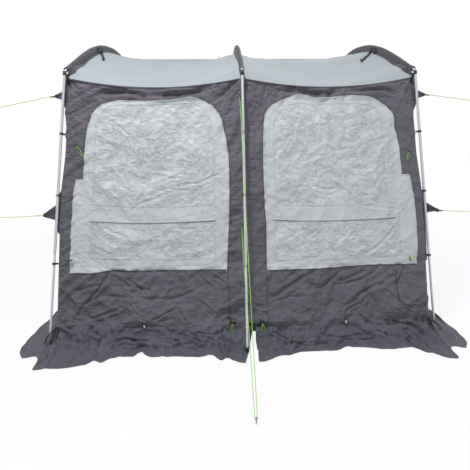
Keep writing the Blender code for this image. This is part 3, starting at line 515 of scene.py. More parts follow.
FOLDS = [  # (width, depth, line) of single folds, measured from the photograph's shadows
    (0.020, 0.0060, [(0.16, 0.19), (0.30, 0.26), (0.42, 0.34), (0.50, 0.375)]),
    (0.020, 0.0060, [(0.35, 0.24), (0.45, 0.25), (0.56, 0.28), (0.64, 0.34), (0.70, 0.38)]),
    (0.020, 0.0055, [(0.65, 0.10), (0.72, 0.13), (0.80, 0.20), (0.93, 0.25), (1.02, 0.30), (1.10, 0.32)]),
    (0.016, 0.0045, [(-0.93, 0.37), (-1.03, 0.22), (-1.13, 0.10), (-1.17, 0.0)]),
    (0.014, 0.0040, [(-0.81, 0.36), (-0.80, 0.32), (-0.73, 0.27), (-0.69, 0.24)]),
    (0.014, 0.0035, [(-1.17, 0.24), (-1.05, 0.27), (-0.95, 0.29)]),
    (0.014, 0.0035, [(-0.93, 0.26), (-0.75, 0.27), (-0.62, 0.24)]),
    (0.016, 0.0040, [(-0.85, 0.20), (-0.60, 0.19), (-0.45, 0.20), (-0.28, 0.28)]),
    (0.014, 0.0035, [(-1.10, 0.17), (-0.93, 0.20), (-0.78, 0.19)]),
    (0.014, 0.0035, [(-1.12, 0.02), (-0.95, 0.08), (-0.80, 0.14)]),
    (0.012, 0.0035, [(-0.66, 0.02), (-0.50, 0.11), (-0.42, 0.13)]),
    (0.012, 0.0035, [(-0.66, 0.02), (-0.74, 0.10), (-0.80, 0.16)]),
    (0.010, 0.0030, [(-0.66, 0.02), (-0.57, 0.035), (-0.48, 0.05)]),
    (0.010, 0.0030, [(-0.66, 0.02), (-0.72, 0.025), (-0.78, 0.03)]),
    (0.014, 0.0035, [(-0.47, 0.13), (-0.42, 0.06), (-0.38, 0.0)]),
    (0.012, 0.0030, [(-0.50, 0.14), (-0.47, 0.09), (-0.44, 0.04)]),
    (0.014, 0.0040, [(-0.33, 0.36), (-0.26, 0.29), (-0.20, 0.24)]),
    (0.012, 0.0030, [(-0.24, 0.35), (-0.20, 0.33), (-0.15, 0.30)]),
    (0.014, 0.0040, [(-0.30, 0.13), (-0.20, 0.05), (-0.12, 0.0)]),
    (0.014, 0.0035, [(-0.35, 0.20), (-0.25, 0.12), (-0.15, 0.03)]),
    (0.014, 0.0035, [(0.15, 0.15), (0.30, 0.19), (0.45, 0.20)]),
    (0.014, 0.0040, [(0.68, 0.0), (0.70, 0.08), (0.80, 0.13), (0.85, 0.18)]),
    (0.014, 0.0035, [(0.60, 0.30), (0.72, 0.31), (0.85, 0.36)]),
    (0.014, 0.0035, [(0.62, 0.26), (0.78, 0.29), (0.95, 0.36)]),
    (0.012, 0.0030, [(0.45, 0.20), (0.49, 0.12), (0.53, 0.04)]),
    (0.012, 0.0030, [(1.02, 0.36), (0.985, 0.33), (0.95, 0.30)]),
    (0.012, 0.0050, [(1.06, 0.20), (1.08, 0.11), (1.20, 0.08), (1.24, 0.07)]),
    (0.012, 0.0030, [(1.11, 0.20), (1.12, 0.16), (1.13, 0.12)]),
    (0.014, 0.0040, [(1.14, 0.35), (1.07, 0.26), (1.06, 0.18)]),
    (0.010, 0.0030, [(0.75, 0.07), (0.785, 0.035), (0.82, 0.0)]),
    (0.012, 0.0030, [(1.05, 0.10), (1.10, 0.07), (1.15, 0.04)]),
    (0.034, 0.0260, [(-1.10, 1.650), (-1.00, 1.690), (-0.84, 1.695), (-0.70, 1.665)]),
    (0.030, 0.0240, [(-0.68, 1.680), (-0.52, 1.682), (-0.36, 1.690), (-0.25, 1.700)]),
    (0.030, 0.0220, [(0.24, 1.690), (0.40, 1.700), (0.60, 1.690), (0.78, 1.705)]),
    (0.028, 0.0200, [(0.80, 1.700), (0.95, 1.695), (1.08, 1.68), (1.18, 1.62)]),
    (0.012, 0.0030, [(0.25, 1.665), (0.28, 1.668), (0.34, 1.67)]),
    (0.012, 0.0030, [(0.98, 1.63), (1.05, 1.625), (1.12, 1.62)]),
    (0.014, 0.0050, [(-1.28, 1.68), (-1.22, 1.64), (-1.17, 1.60)]),
    (0.014, 0.0060, [(-1.27, 1.53), (-1.18, 1.46), (-1.15, 1.46)]),
    (0.010, 0.0030, [(-1.14, 1.55), (-1.12, 1.535), (-1.10, 1.52)]),
    (0.012, 0.0040, [(-1.25, 1.40), (-1.22, 1.35), (-1.20, 1.30)]),
    (0.014, 0.0045, [(1.27, 1.70), (1.21, 1.60), (1.15, 1.50)]),
    (0.014, 0.0045, [(-0.02, 1.70), (-0.15, 1.60), (-0.20, 1.57)]),
    (0.012, 0.0035, [(0.05, 1.65), (0.085, 1.62), (0.12, 1.60)]),
    (0.012, 0.0030, [(0.10, 1.69), (0.20, 1.68), (0.30, 1.67)]),
    (0.016, 0.0045, [(-0.95, 1.47), (-0.88, 1.42), (-0.82, 1.36), (-0.79, 1.30)]),
    (0.012, 0.0030, [(-0.62, 1.48), (-0.55, 1.42), (-0.51, 1.35)]),
    (0.010, 0.0025, [(-0.46, 1.37), (-0.455, 1.34), (-0.45, 1.30)]),
    (0.012, 0.0030, [(-0.93, 1.21), (-0.87, 1.17), (-0.84, 1.12)]),
    (0.016, 0.0040, [(-0.75, 1.10), (-0.60, 1.08), (-0.45, 1.05)]),
    (0.018, 0.0055, [(-0.63, 1.02), (-0.50, 1.06), (-0.42, 1.05)]),
    (0.016, 0.0045, [(-0.48, 1.0), (-0.30, 1.02), (-0.2, 1.06), (-0.13, 1.04)]),
    (0.016, 0.0040, [(-0.7, 0.92), (-0.55, 0.98), (-0.35, 1.01)]),
    (0.012, 0.0035, [(-0.88, 0.98), (-0.80, 0.92), (-0.75, 0.96)]),
    (0.016, 0.0045, [(-0.82, 0.80), (-0.74, 0.87), (-0.6, 0.92), (-0.5, 0.96), (-0.38, 0.97)]),
    (0.012, 0.0035, [(-0.3, 0.95), (-0.27, 0.87), (-0.22, 0.78)]),
    (0.010, 0.0025, [(-0.45, 0.90), (-0.425, 0.885), (-0.40, 0.87)]),
    (0.016, 0.0050, [(-1.0, 0.70), (-0.92, 0.66), (-0.84, 0.63), (-0.8, 0.64)]),
    (0.016, 0.0050, [(-1.06, 0.56), (-0.98, 0.52), (-0.88, 0.49), (-0.83, 0.49)]),
    (0.012, 0.0030, [(-0.6, 0.70), (-0.45, 0.69), (-0.3, 0.68)]),
    (0.014, 0.0035, [(0.28, 1.55), (0.4, 1.52), (0.48, 1.48)]),
    (0.014, 0.0035, [(0.3, 1.48), (0.38, 1.40), (0.45, 1.32)]),
    (0.012, 0.0030, [(0.5, 1.45), (0.56, 1.447), (0.62, 1.44)]),
    (0.012, 0.0030, [(0.75, 1.44), (0.82, 1.43), (0.9, 1.42)]),
    (0.014, 0.0035, [(0.7, 1.53), (0.85, 1.56), (0.95, 1.53)]),
    (0.014, 0.0035, [(0.35, 0.97), (0.48, 0.99), (0.6, 0.96), (0.7, 0.99)]),
    (0.016, 0.0040, [(0.82, 0.85), (0.95, 0.82), (1.12, 0.79)]),
    (0.014, 0.0035, [(0.23, 0.55), (0.35, 0.63), (0.48, 0.70)]),
    (0.014, 0.0035, [(0.3, 0.50), (0.45, 0.58), (0.58, 0.68)]),
    (0.014, 0.0035, [(0.55, 0.50), (0.65, 0.57), (0.75, 0.66)]),
    (0.018, 0.0050, [(0.8, 0.48), (0.93, 0.52), (1.1, 0.68)]),
    (0.012, 0.0035, [(0.95, 0.50), (1.05, 0.53), (1.11, 0.58)]),
    (0.014, 0.0035, [(0.2, 0.42), (0.35, 0.45), (0.6, 0.47)]),
]
FLAP_EDGE = {  # the front flaps' outer edges on the ground, with depths from the leg tops
    "left": [(-0.013, -0.655), (-0.05, -0.642), (-0.092, -0.62), (-0.134, -0.582), (-0.177, -0.61),
             (-0.236, -0.54), (-0.311, -0.562), (-0.45, -0.552), (-0.635, -0.546), (-0.703, -0.480),
             (-0.745, -0.539), (-0.785, -0.536), (-0.878, -0.556), (-0.929, -0.607), (-0.986, -0.58),
             (-1.026, -0.625), (-1.149, -0.664), (-1.241, -0.664), (-1.323, -0.680)],
    "right": [(0.056, -0.641), (0.112, -0.634), (0.21, -0.571), (0.282, -0.564), (0.348, -0.530),
              (0.51, -0.520), (0.60, -0.517), (0.673, -0.470), (0.72, -0.479), (0.794, -0.486),
              (0.939, -0.516), (1.060, -0.505), (1.117, -0.500), (1.171, -0.571), (1.213, -0.586),
              (1.26, -0.64), (1.325, -0.660)],
}
FLAP_FOLDS = [  # the same for the front flaps, across and down from the hem
    (0.030, 0.020, [(-1.27, -0.05), (-1.20, -0.12), (-1.13, -0.18), (-1.03, -0.22)]),
    (0.024, 0.016, [(-1.09, -0.10), (-1.03, -0.15), (-0.95, -0.19)]),
    (0.020, 0.010, [(-1.06, -0.03), (-1.01, -0.08), (-0.99, -0.12)]),
    (0.034, 0.024, [(-0.95, -0.22), (-0.83, -0.17), (-0.72, -0.18), (-0.60, -0.22)]),
    (0.024, 0.015, [(-0.90, -0.27), (-0.74, -0.25), (-0.62, -0.28)]),
    (0.022, 0.012, [(-0.62, -0.12), (-0.45, -0.17), (-0.28, -0.16)]),
    (0.020, 0.012, [(-0.50, -0.30), (-0.36, -0.24), (-0.24, -0.26)]),
    (0.024, 0.014, [(-0.20, -0.05), (-0.13, -0.14), (-0.06, -0.22)]),
    (0.018, 0.010, [(-0.34, -0.05), (-0.25, -0.09), (-0.16, -0.07)]),
    (0.022, 0.012, [(0.12, -0.05), (0.22, -0.12), (0.30, -0.24)]),
    (0.026, 0.015, [(0.18, -0.26), (0.34, -0.22), (0.48, -0.27)]),
    (0.026, 0.016, [(0.50, -0.12), (0.62, -0.20), (0.76, -0.18)]),
    (0.022, 0.012, [(0.66, -0.28), (0.80, -0.25), (0.92, -0.30)]),
    (0.022, 0.014, [(0.84, -0.10), (0.90, -0.18), (0.96, -0.22)]),
    (0.032, 0.024, [(1.04, -0.03), (1.14, -0.08), (1.18, -0.16), (1.27, -0.19)]),
    (0.026, 0.018, [(1.05, -0.20), (1.15, -0.25), (1.25, -0.26)]),
]
# A side flap's outer edge on the ground and its middle, as shares of FLAP_REACH outwards and of the depth
FLAP_REACH = 0.223
SIDE_FLAP_EDGE = [(0.664, -0.2938), (0.933, -0.2260), (1.0, -0.0565), (0.955, 0.2260), (0.888, 0.6215),
                  (0.798, 0.9972)]
SIDE_FLAP_MID = [(0.686, -0.0734), (0.529, -0.0339), (0.395, 0.0847), (0.350, 0.2825), (0.283, 0.6215),
                 (0.215, 0.9972)]


# Materials
class Look:
    """A node material on one principled shader."""

    def __init__(self, name, slot, **sockets):
        self.material = bpy.data.materials.new(name)
        self.material.use_nodes = True
        self.tree = self.material.node_tree
        self.slot = slot
        self.shader = next(n for n in self.tree.nodes if n.type == "BSDF_PRINCIPLED")
        for socket, value in sockets.items():
            self.shader.inputs[socket.replace("_", " ")].default_value = value

    def put(self, value, socket):
        """Links another node's output to a socket, or writes a plain value into it."""
        if isinstance(value, bpy.types.NodeSocket):
            self.tree.links.new(value, socket)
        else:
            socket.default_value = value

    def node(self, kind, inputs=(), **settings):
        """A new node with its settings made and its inputs linked or filled."""
        made = self.tree.nodes.new("ShaderNode" + kind)
        for key, value in settings.items():
            setattr(made, key, value)
        for key, value in dict(inputs).items():
            self.put(value, made.inputs[key])
        return made

    def where(self, scale=(1, 1, 1), uv=False):
        """The place on the piece, from its own coordinates or from its UVs."""
        coordinates = self.node("TexCoord").outputs["UV" if uv else "Object"]
        return self.node("Mapping", {"Vector": coordinates, "Scale": scale}).outputs["Vector"]

    def noise(self, scale, detail=3.0, rough=0.5, at=None, out="Fac"):
        inputs = {"Scale": scale, "Detail": detail, "Roughness": rough}
        inputs["Vector"] = at if at is not None else self.where()
        return self.node("TexNoise", inputs).outputs[out]

    def ridges(self, at, scale, turn, stretch, detail, rough, distortion, broad):
        """Crossing creases, longer one way: 0 on their lines and 1 between them."""
        laid = self.node("Mapping", {"Vector": at, "Scale": (1, stretch, 1), "Rotation": (0, 0, turn)})
        wave = self.node("TexNoise", {"Vector": laid.outputs[0], "Scale": scale, "Detail": detail,
                                      "Roughness": rough, "Distortion": distortion}).outputs["Fac"]
        ridge = self.sums("ABSOLUTE", self.sums("SUBTRACT", wave, 0.5))
        return self.node("MapRange", {"Value": ridge, "From Max": broad}).outputs["Result"]

    def ramp(self, value, *stops):
        """Colours at their stops, blended in between."""
        made = self.node("ValToRGB", {"Fac": value})
        elements = made.color_ramp.elements
        while len(elements) < len(stops):
            elements.new(0.5)
        for element, (at, colour) in zip(elements, stops):
            element.position = at
            element.color = (*colour, 1)
        return made.outputs["Color"]

    def sums(self, kind, *values):
        """One step of arithmetic."""
        made = self.node("Math", operation=kind)
        for k, value in enumerate(values):
            self.put(value, made.inputs[k])
        return made.outputs[0]

    def times_plus(self, value, by, plus):
        return self.sums("ADD", self.sums("MULTIPLY", value, by), plus)

    def mix(self, share, one, two, kind="MIX"):
        made = self.node("MixRGB", {"Fac": share, "Color1": one, "Color2": two}, blend_type=kind)
        return made.outputs["Color"]

    def colour(self, socket):
        self.tree.links.new(socket, self.shader.inputs["Base Color"])

    def roughness(self, socket):
        self.tree.links.new(socket, self.shader.inputs["Roughness"])

    def bump(self, *layers):
        """Each layer is a height between 0 and 1 and its real height in metres."""
        normal = None
        for height, size in layers:
            inputs = {"Height": height, "Distance": size, "Strength": 1.0}
            if normal is not None:
                inputs["Normal"] = normal
            normal = self.node("Bump", inputs).outputs["Normal"]
        self.tree.links.new(normal, self.shader.inputs["Normal"])
        return self


def tone(r, g, b):
    """A linear colour from its screen values."""
    return tuple(c / 12.92 if c <= 0.04045 else ((c + 0.055) / 1.055) ** 2.4
                 for c in (r / 255, g / 255, b / 255))


def scaled(colour, by):
    """A colour made lighter or darker."""
    return tuple(min(1.0, c * by) for c in colour)


def cloth(name, slot, colour, vary=0.10, thread=0.0009, roughness=0.78, sheen=0.15, uv=True, grime=None,
          crinkle=0.0):
    """Woven coated cloth: two crossing threads, slow changes of tone, faint grime where it is handled."""
    look = Look(name, slot, Roughness=roughness, Sheen_Weight=sheen, Sheen_Roughness=0.5,
                Specular_IOR_Level=0.35)
    at = look.where(uv=uv)
    feel = {"Vector": at, "Scale": 0.25 / thread, "Distortion": 0.6, "Detail": 1.0, "Detail Scale": 2.0}
    waves = [look.node("TexWave", feel, wave_type="BANDS", bands_direction=way) for way in ("X", "Y")]
    threads = look.sums("MAXIMUM", *[wave.outputs["Fac"] for wave in waves])
    slow = look.noise(3.0, 4.0, 0.6, at)
    fine = look.noise(60, 3.0, 0.6, at)
    mixed = look.sums("ADD", look.sums("MULTIPLY", slow, 0.7), look.sums("MULTIPLY", fine, 0.3))
    out = look.ramp(mixed, (0.30, scaled(colour, 1 - vary)), (0.70, scaled(colour, 1 + vary)))
    gaps = look.sums("MULTIPLY", look.sums("SUBTRACT", 1.0, threads), 0.22)
    out = look.mix(gaps, out, (*scaled(colour, 0.45), 1))
    if grime:
        spots = look.ramp(look.noise(9, 5.0, 0.7, at), (0.55, (0, 0, 0)), (0.75, (1, 1, 1)))
        out = look.mix(look.sums("MULTIPLY", spots, 0.16), out, (*grime, 1))
    look.colour(out)
    look.roughness(look.times_plus(mixed, 0.16, roughness - 0.08))
    layers = [(slow, 0.0008), (fine, 0.0003), (threads, 0.00012)]
    if crinkle:
        layers += [(look.ridges(at, scale, turn, stretch, 3.0, 0.55, 0.5, 0.12), crinkle * depth)
                   for scale, turn, stretch, depth in ((9.0, 0.6, 2.6, 1.0), (16.0, -0.5, 2.2, 0.7),
                                                       (30.0, 0.9, 2.0, 0.45))]
    return look.bump(*layers)


WALL = cloth("dark_ripstop", "wall_cloth", tone(93, 90, 100), vary=0.10, grime=tone(140, 136, 140),
             roughness=0.62, crinkle=0.0030)
ROOF = cloth("pale_blue_ripstop", "roof_cloth", tone(161, 169, 174), vary=0.04, sheen=0.05,
             grime=tone(150, 152, 152), crinkle=0.0009)
DOOR = cloth("pale_grey_canvas", "door_cloth", tone(190, 195, 198), vary=0.04, sheen=0.05,
             grime=tone(160, 160, 160), crinkle=0.0011)
SLEEVE = cloth("sleeve_canvas", "wall_cloth", tone(61, 59, 67), vary=0.12, thread=0.0012)
WEBBING = cloth("black_webbing", "black_plastic", tone(27, 26, 29), vary=0.2, thread=0.0016, uv=False)
TRIM = cloth("dark_trim", "wall_cloth", tone(70, 67, 76), vary=0.12, thread=0.0013, uv=False)
PAD = cloth("pad_cloth", "pad_foam_cloth", tone(92, 88, 99), vary=0.12, thread=0.0012, uv=False)


def film():
    """Clear window film with its blind behind: silvery, glossy, finely creased, with painted shade along its crease
    lines.
    """
    look = Look("window_film_silver", "window_film", Roughness=0.4, Specular_IOR_Level=0.55)
    at = look.where(uv=True)
    broad = look.noise(5, 4.0, 0.65, at)
    bent = look.mix(0.06, at, look.noise(9, 3.0, 0.6, at, "Color"), "ADD")
    nets = [look.ridges(bent, scale, turn, stretch, 4.0, 0.6, 0.8, 0.10)
            for scale, turn, stretch in ((11.0, 0.5, 1.9), (17.0, -0.6, 1.7), (34.0, 0.2, 1.4))]
    fine = look.noise(90, 4.0, 0.7, at)
    base = look.ramp(broad, (0.30, tone(182, 187, 190)), (0.52, tone(193, 197, 199)),
                     (0.72, tone(204, 207, 208)))
    # the crease lines are darkened by up to a fifth: painted shade in the creases
    lines = look.sums("MULTIPLY", nets[0], nets[1])
    shade = look.ramp(lines, (0.0, (0.80, 0.80, 0.81)), (0.3, (1, 1, 1)))
    look.colour(look.mix(1.0, base, shade, "MULTIPLY"))
    look.roughness(look.times_plus(fine, 0.2, 0.32))
    return look.bump((nets[0], 0.0018), (nets[1], 0.0014), (nets[2], 0.0008), (fine, 0.0003))


FILM = film()


def sheeting():
    """Coated ground sheeting: smoother than the walls, creased, a little dusty."""
    look = Look("mud_flap_sheeting", "flap_sheet", Roughness=0.7, Specular_IOR_Level=0.3, Sheen_Weight=0.1)
    at = look.where(uv=True)
    broad = look.noise(6, 5.0, 0.65, at)
    creases = look.node("TexVoronoi", {"Vector": at, "Scale": 26.0}, feature="DISTANCE_TO_EDGE")
    fine = look.noise(90, 3.0, 0.6, at)
    dust = look.ramp(look.noise(14, 6.0, 0.75, at), (0.5, (0, 0, 0)), (0.85, (1, 1, 1)))
    base = look.ramp(broad, (0.30, tone(72, 73, 82)), (0.70, tone(91, 92, 102)))
    look.colour(look.mix(look.sums("MULTIPLY", dust, 0.15), base, (*tone(150, 150, 152), 1)))
    look.roughness(look.times_plus(broad, 0.25, 0.55))
    return look.bump((creases.outputs["Distance"], 0.0008), (fine, 0.0003))


SHEETING = sheeting()


def steel(name, low, high):
    """Galvanised tube: faint spangle, drawn lengthwise."""
    look = Look(name, "leg_steel", Metallic=0.20, Roughness=0.40)
    spangle = look.node("TexVoronoi", {"Vector": look.where(), "Scale": 160.0}, feature="F1")
    drawn = look.noise(40, 3.0, 0.6, look.where(scale=(9, 9, 0.6)))
    grain = look.sums("MULTIPLY", spangle.outputs["Distance"], 0.5)
    mixed = look.sums("ADD", grain, look.sums("MULTIPLY", drawn, 0.5))
    look.colour(look.ramp(mixed, (0.25, low), (0.75, high)))
    look.roughness(look.times_plus(drawn, 0.22, 0.18))
    return look.bump((drawn, 0.00008))


def moulded(name, slot, colour, roughness=0.45, grain=900):
    """A plain moulded or spun material with worn patches; grain is how fine its surface is."""
    look = Look(name, slot, Roughness=roughness)
    fine = look.noise(grain, 2.0, 0.5)
    worn = look.noise(35, 4.0, 0.7)
    look.colour(look.ramp(worn, (0.35, colour), (0.75, scaled(colour, 1.5))))
    look.roughness(look.times_plus(worn, 0.25, roughness - 0.12))
    return look.bump((fine, 0.00006))


def cordage(name, colour):
    """Braided polyester rope."""
    look = Look(name, "rope_lime", Roughness=0.6, Sheen_Weight=0.3, Sheen_Roughness=0.4)
    at = look.where(uv=True)
    braid = look.node("TexWave", {"Vector": at, "Scale": 160.0, "Distortion": 1.0}, wave_type="BANDS",
                      bands_direction="DIAGONAL").outputs["Fac"]
    slow = look.noise(30, 3.0, 0.6)
    mixed = look.sums("ADD", look.sums("MULTIPLY", braid, 0.6), look.sums("MULTIPLY", slow, 0.4))
    look.colour(look.ramp(mixed, (0.2, scaled(colour, 0.6)), (0.8, scaled(colour, 1.15))))
    return look.bump((braid, 0.0004))


STEEL = steel("galvanised_steel", tone(168, 176, 176), tone(204, 210, 210))
BRIGHT = steel("bright_steel", tone(186, 189, 194), tone(218, 220, 224))
PLASTIC = moulded("black_nylon", "black_plastic", tone(30, 30, 32))
RUBBER = moulded("foot_rubber_black", "foot_rubber", tone(26, 26, 27), roughness=0.75, grain=500)
FIBRE = moulded("glass_fibre_grey", "rod_glass_fibre", tone(176, 179, 179), roughness=0.4, grain=1500)
BINDING = cloth("pale_binding", "door_cloth", tone(183, 188, 191), vary=0.05, thread=0.0012, uv=False)
PALE_TAPE = cloth("white_tape", "door_cloth", tone(226, 227, 228), vary=0.04, thread=0.0010, uv=False)
VINYL = moulded("rail_vinyl_grey", "rail_vinyl", tone(178, 180, 182), roughness=0.5)
PEG = moulded("peg_zinc", "peg_steel", tone(168, 168, 170), roughness=0.3)
PEG.shader.inputs["Metallic"].default_value = 1.0
LIME = cordage("lime_rope", tone(160, 226, 70))
THREAD = moulded("sewing_thread", "wall_cloth", tone(72, 70, 78), roughness=0.7)
PALE_THREAD = moulded("pale_thread", "door_cloth", tone(176, 180, 183), roughness=0.7)
# the zip's dark coil; the same material also makes the strip of painted shadow under each window lap
ZIP_AND_SHADOW = moulded("zip_coil", "black_plastic", tone(58, 56, 62), roughness=0.5, grain=2500)


# Pieces
BAND = 0.07  # over this width beside its hinge a door's cloth starts to follow the door


def hinge_band(side, place, axis):
    """The band's two ends: a point of the hinge, and a point square to the hinge on the door."""
    place, axis = np.array(place), np.array(axis)
    way = flat_wall(side * 1.10, 0.3) - flat_wall(side * 1.20, 0.3)
    way -= axis * way.dot(axis)
    return tuple(place), tuple(place + way / np.linalg.norm(way) * BAND)


# Each hinge's place and direction, as the part's joints have them
HINGES = {"door_left": hinge_band(-1, (-1.246717, -0.867502, HEM_Z), (-0.043644, -0.184061, -0.981945)),
          "door_right": hinge_band(1, (1.269405, -0.864889, HEM_Z), (-0.044347, 0.182181, 0.982265))}
BENT = ("door_panel", "door_skirt", "door_binding", "skirt_seam", "skirt_stitches")


def piece(name, points, faces, look, body="root", uv=None, replaces=()):
    """A visible piece: its mesh, its material, the body it rides on and the nodes it stands for."""
    points = np.asarray(points, float).reshape(-1, 3)
    mesh = bpy.data.meshes.new(name)
    mesh.from_pydata([tuple(p) for p in points], [], [tuple(int(i) for i in f) for f in faces])
    mesh.update()
    if uv is not None:
        layer = mesh.uv_layers.new(name="UVMap")
        index = np.empty(len(mesh.loops), int)
        mesh.loops.foreach_get("vertex_index", index)
        layer.data.foreach_set("uv", np.asarray(uv, np.float32).reshape(-1, 2)[index].ravel())
    mesh.shade_smooth()
    made = bpy.data.objects.new(name, mesh)
    bpy.context.scene.collection.objects.link(made)
    mesh.materials.append(look.material)
    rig.slot(made, look.slot)
    if body in HINGES and name.startswith(BENT):
        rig.blend(made, "root", body, *HINGES[body])
    else:
        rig.ride(made, body)
    if replaces:
        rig.replaces(made, *replaces)
    return made


def frames_along(line):
    """At each point of a line: two directions square to it and to each other, without twist."""
    line = np.asarray(line, float)
    ahead = units(np.gradient(line, axis=0))
    one = np.cross(ahead[0], [0, 0, 1.0])
    if np.linalg.norm(one) < 0.1:
        one = np.cross(ahead[0], [1.0, 0, 0])
    ones = []
    for way in ahead:
        one = unit(one - way * one.dot(way))
        ones.append(one)
    ones = np.array(ones)
    return ones, np.cross(ahead, ones)


def ring_faces(rows, sides):
    """The faces between rows of points, where each row closes on itself."""
    return [(row + s, row + (s + 1) % sides, row + sides + (s + 1) % sides, row + sides + s)
            for row in range(0, (rows - 1) * sides, sides) for s in range(sides)]


def end_faces(rows, sides):
    """The two faces that close the first and the last row."""
    return [tuple(range(sides - 1, -1, -1)), tuple(range((rows - 1) * sides, rows * sides))]


def tube(line, radius, sides=8, shape=None, caps=True):
    """Points, faces and UVs of a tube; shape(turn, along) scales its radius."""
    line = np.asarray(line, float)
    one, two = frames_along(line)
    along = far_along(line)
    turn = 2 * np.pi * np.arange(sides) / sides
    radii = np.broadcast_to(np.asarray(radius, float).reshape(-1, 1), (len(line), sides)).copy()
    if shape is not None:
        radii *= shape(turn[None, :], along[:, None])
    points = line[:, None] + radii[..., None] * (np.cos(turn)[None, :, None] * one[:, None]
                                                 + np.sin(turn)[None, :, None] * two[:, None])
    faces = ring_faces(len(line), sides) + (end_faces(len(line), sides) if caps else [])
    uv = stack(along[:, None], turn[None, :] * np.mean(radius)).reshape(-1, 2)
    return points.reshape(-1, 3), faces, uv


def merged(*shapes):
    """Several shapes as one: their points and their faces."""
    points, faces, first = [], [], 0
    for shape in shapes:
        points.append(np.asarray(shape[0], float))
        faces += [tuple(i + first for i in face) for face in shape[1]]
        first += len(shape[0])
    return np.vstack(points), faces


def block(centre, size):
    """A box with chamfered edges."""
    half = np.asarray(size, float) / 2
    mesh = bmesh.new()
    bmesh.ops.create_cube(mesh, size=2)
    for v in mesh.verts:
        v.co = Vector([v.co[k] * half[k] for k in range(3)])
    bmesh.ops.bevel(mesh, geom=mesh.edges[:], offset=0.15 * half.min(), segments=2, affect="EDGES",
                    profile=0.5)
    mesh.verts.index_update()
    points = np.array([v.co[:] for v in mesh.verts]) + np.asarray(centre, float)
    faces = [[v.index for v in f.verts] for f in mesh.faces]
    mesh.free()
    return points, faces


# Guy ropes
def twisted(route, radius, step=0.004):
    """A laid rope: three strands that turn round each other."""
    line = smooth(route, max(8, int(length_of(route) / step)), fine=40)
    return tube(line, radius, 9,
                lambda turn, along: 0.86 + 0.14 * np.abs(np.cos(1.5 * (turn - along * 330))))


def loop_line(centre, radius, way, count):
    """A circle of points that is closed by its last point; way is square to it."""
    way = unit(way)
    one = unit(np.cross(way, [0, 0, 1.0] if abs(way[2]) < 0.9 else [1.0, 0, 0]))
    two = np.cross(way, one)
    turn = 2 * math.pi * np.arange(count + 1) / count
    return np.asarray(centre) + radius * (np.cos(turn)[:, None] * one + np.sin(turn)[:, None] * two)


def knot(centre, along, radius):
    """An overhand knot: two tight turns round the rope."""
    along = unit(along)
    one = unit(np.cross(along, [0, 0, 1.0]))
    two = np.cross(along, one)
    t = np.linspace(0, 2 * math.pi, 40)
    reach = radius * 2.1
    line = (np.asarray(centre) + along * (reach * 0.75 * np.sin(2 * t))[:, None]
            + one * (reach * np.cos(t) * 0.9)[:, None] + two * (reach * np.sin(t) * 0.9)[:, None])
    return tube(line, radius, 8)


def runner(centre, way, length=0.026, radius=0.0055):
    """A small moulded slide on a rope, waisted in the middle."""
    way = unit(way)
    share = np.linspace(-1, 1, 15)
    line = np.asarray(centre) + way * (share * length / 2)[:, None]
    size = radius * np.minimum(1.0, (1.02 - abs(share)) * 4 + 0.45) * (0.74 + 0.26 * abs(share))
    return tube(line, size, 12, lambda turn, along: 1 - 0.28 * np.abs(np.sin(turn)) ** 3)


def guy_rope(name, route, far_end, with_pieces):
    """A taut guy rope with the knots and slides that belong to it."""
    line = smooth(route, 12 if "centre" not in name else 28)
    points, faces, uv = twisted(line, ROPE_R)
    made = piece(name + "_rope", points, faces, LIME, uv=uv, replaces=[name])
    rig.cord(made, exit=tuple(line[0]), length=length_of(line), diameter=2 * ROPE_R, far_end=far_end,
            stiffness="limp", lay="taut", path=[tuple(p) for p in line], with_pieces=with_pieces)


SIDE_ROPES = {  # each side rope's eyelet and end
    ("upper", "left"): ((-1.32768, -0.57576, 1.71603), (-1.80008, -0.57766, 1.62803)),
    ("upper", "right"): ((1.32768, -0.57576, 1.71603), (1.80008, -0.57766, 1.66003)),
    ("lower", "left"): ((-1.40535, -0.72687, 0.88007), (-1.77995, -0.72257, 0.86807)),
    ("lower", "right"): ((1.40535, -0.72687, 0.88007), (1.77995, -0.72257, 0.86007)),
}
CENTRE_ROPES = {
    "high": [(-0.01945, -0.57339, 1.74124), (-0.019, -0.68765, 1.60), (-0.0145, -0.81765, 1.40),
             (-0.008, -1.21765, 0.83), (0.0063, -1.78065, 0.024)],
    "low": [(-0.02011, -0.77918, 0.83835), (-0.019, -0.89765, 0.705), (-0.018, -1.00765, 0.605),
            (-0.012, -1.36765, 0.345), (-0.0063, -1.78065, 0.024)],
}
for (level, word), (start, end) in SIDE_ROPES.items():
    side = SIDES[word]
    start, end = np.array(start), np.array(end)
    first = start + [side * 0.03, 0, 0]
    route = [start, first, (first + end) / 2 - [0, 0, 0.002], end]
    way = unit(end - start)
    tag = f"{level}_{word}"
    end_knot = piece(f"rope_end_{tag}", *knot(end - way * 0.004, way, ROPE_R)[:2], LIME)
    eye_knot = piece(f"rope_knot_{tag}", *knot(start + way * 0.040, way, ROPE_R)[:2], LIME)
    slide_at = end - way * 0.025 if tag == "lower_left" else start + way * 0.016
    slide = piece(f"rope_runner_{tag}", *runner(slide_at, way, 0.030, 0.0075)[:2], PLASTIC)
    guy_rope(f"guy_rope_{tag}", route, "knot", [end_knot, eye_knot, slide])
for word, route in CENTRE_ROPES.items():
    route = np.array(route)
    way = unit(route[1] - route[0])
    shape = runner(route[0] + way * 0.035, way, 0.045, 0.006)
    slide = piece(f"rope_runner_centre_{word}", *shape[:2], PLASTIC)
    guy_rope(f"guy_rope_centre_{word}", route, "object", [slide])


# Cloth that settles: Blender's own cloth on a grid of points
def grid(us, vs):
    """Two coordinates at each point of a grid, and the faces between its points."""
    u, v = np.meshgrid(us, vs, indexing="ij")
    n = len(vs)
    faces = [(i * n + j, i * n + j + 1, (i + 1) * n + j + 1, (i + 1) * n + j)
             for i in range(len(us) - 1) for j in range(n - 1)]
    return u, v, faces


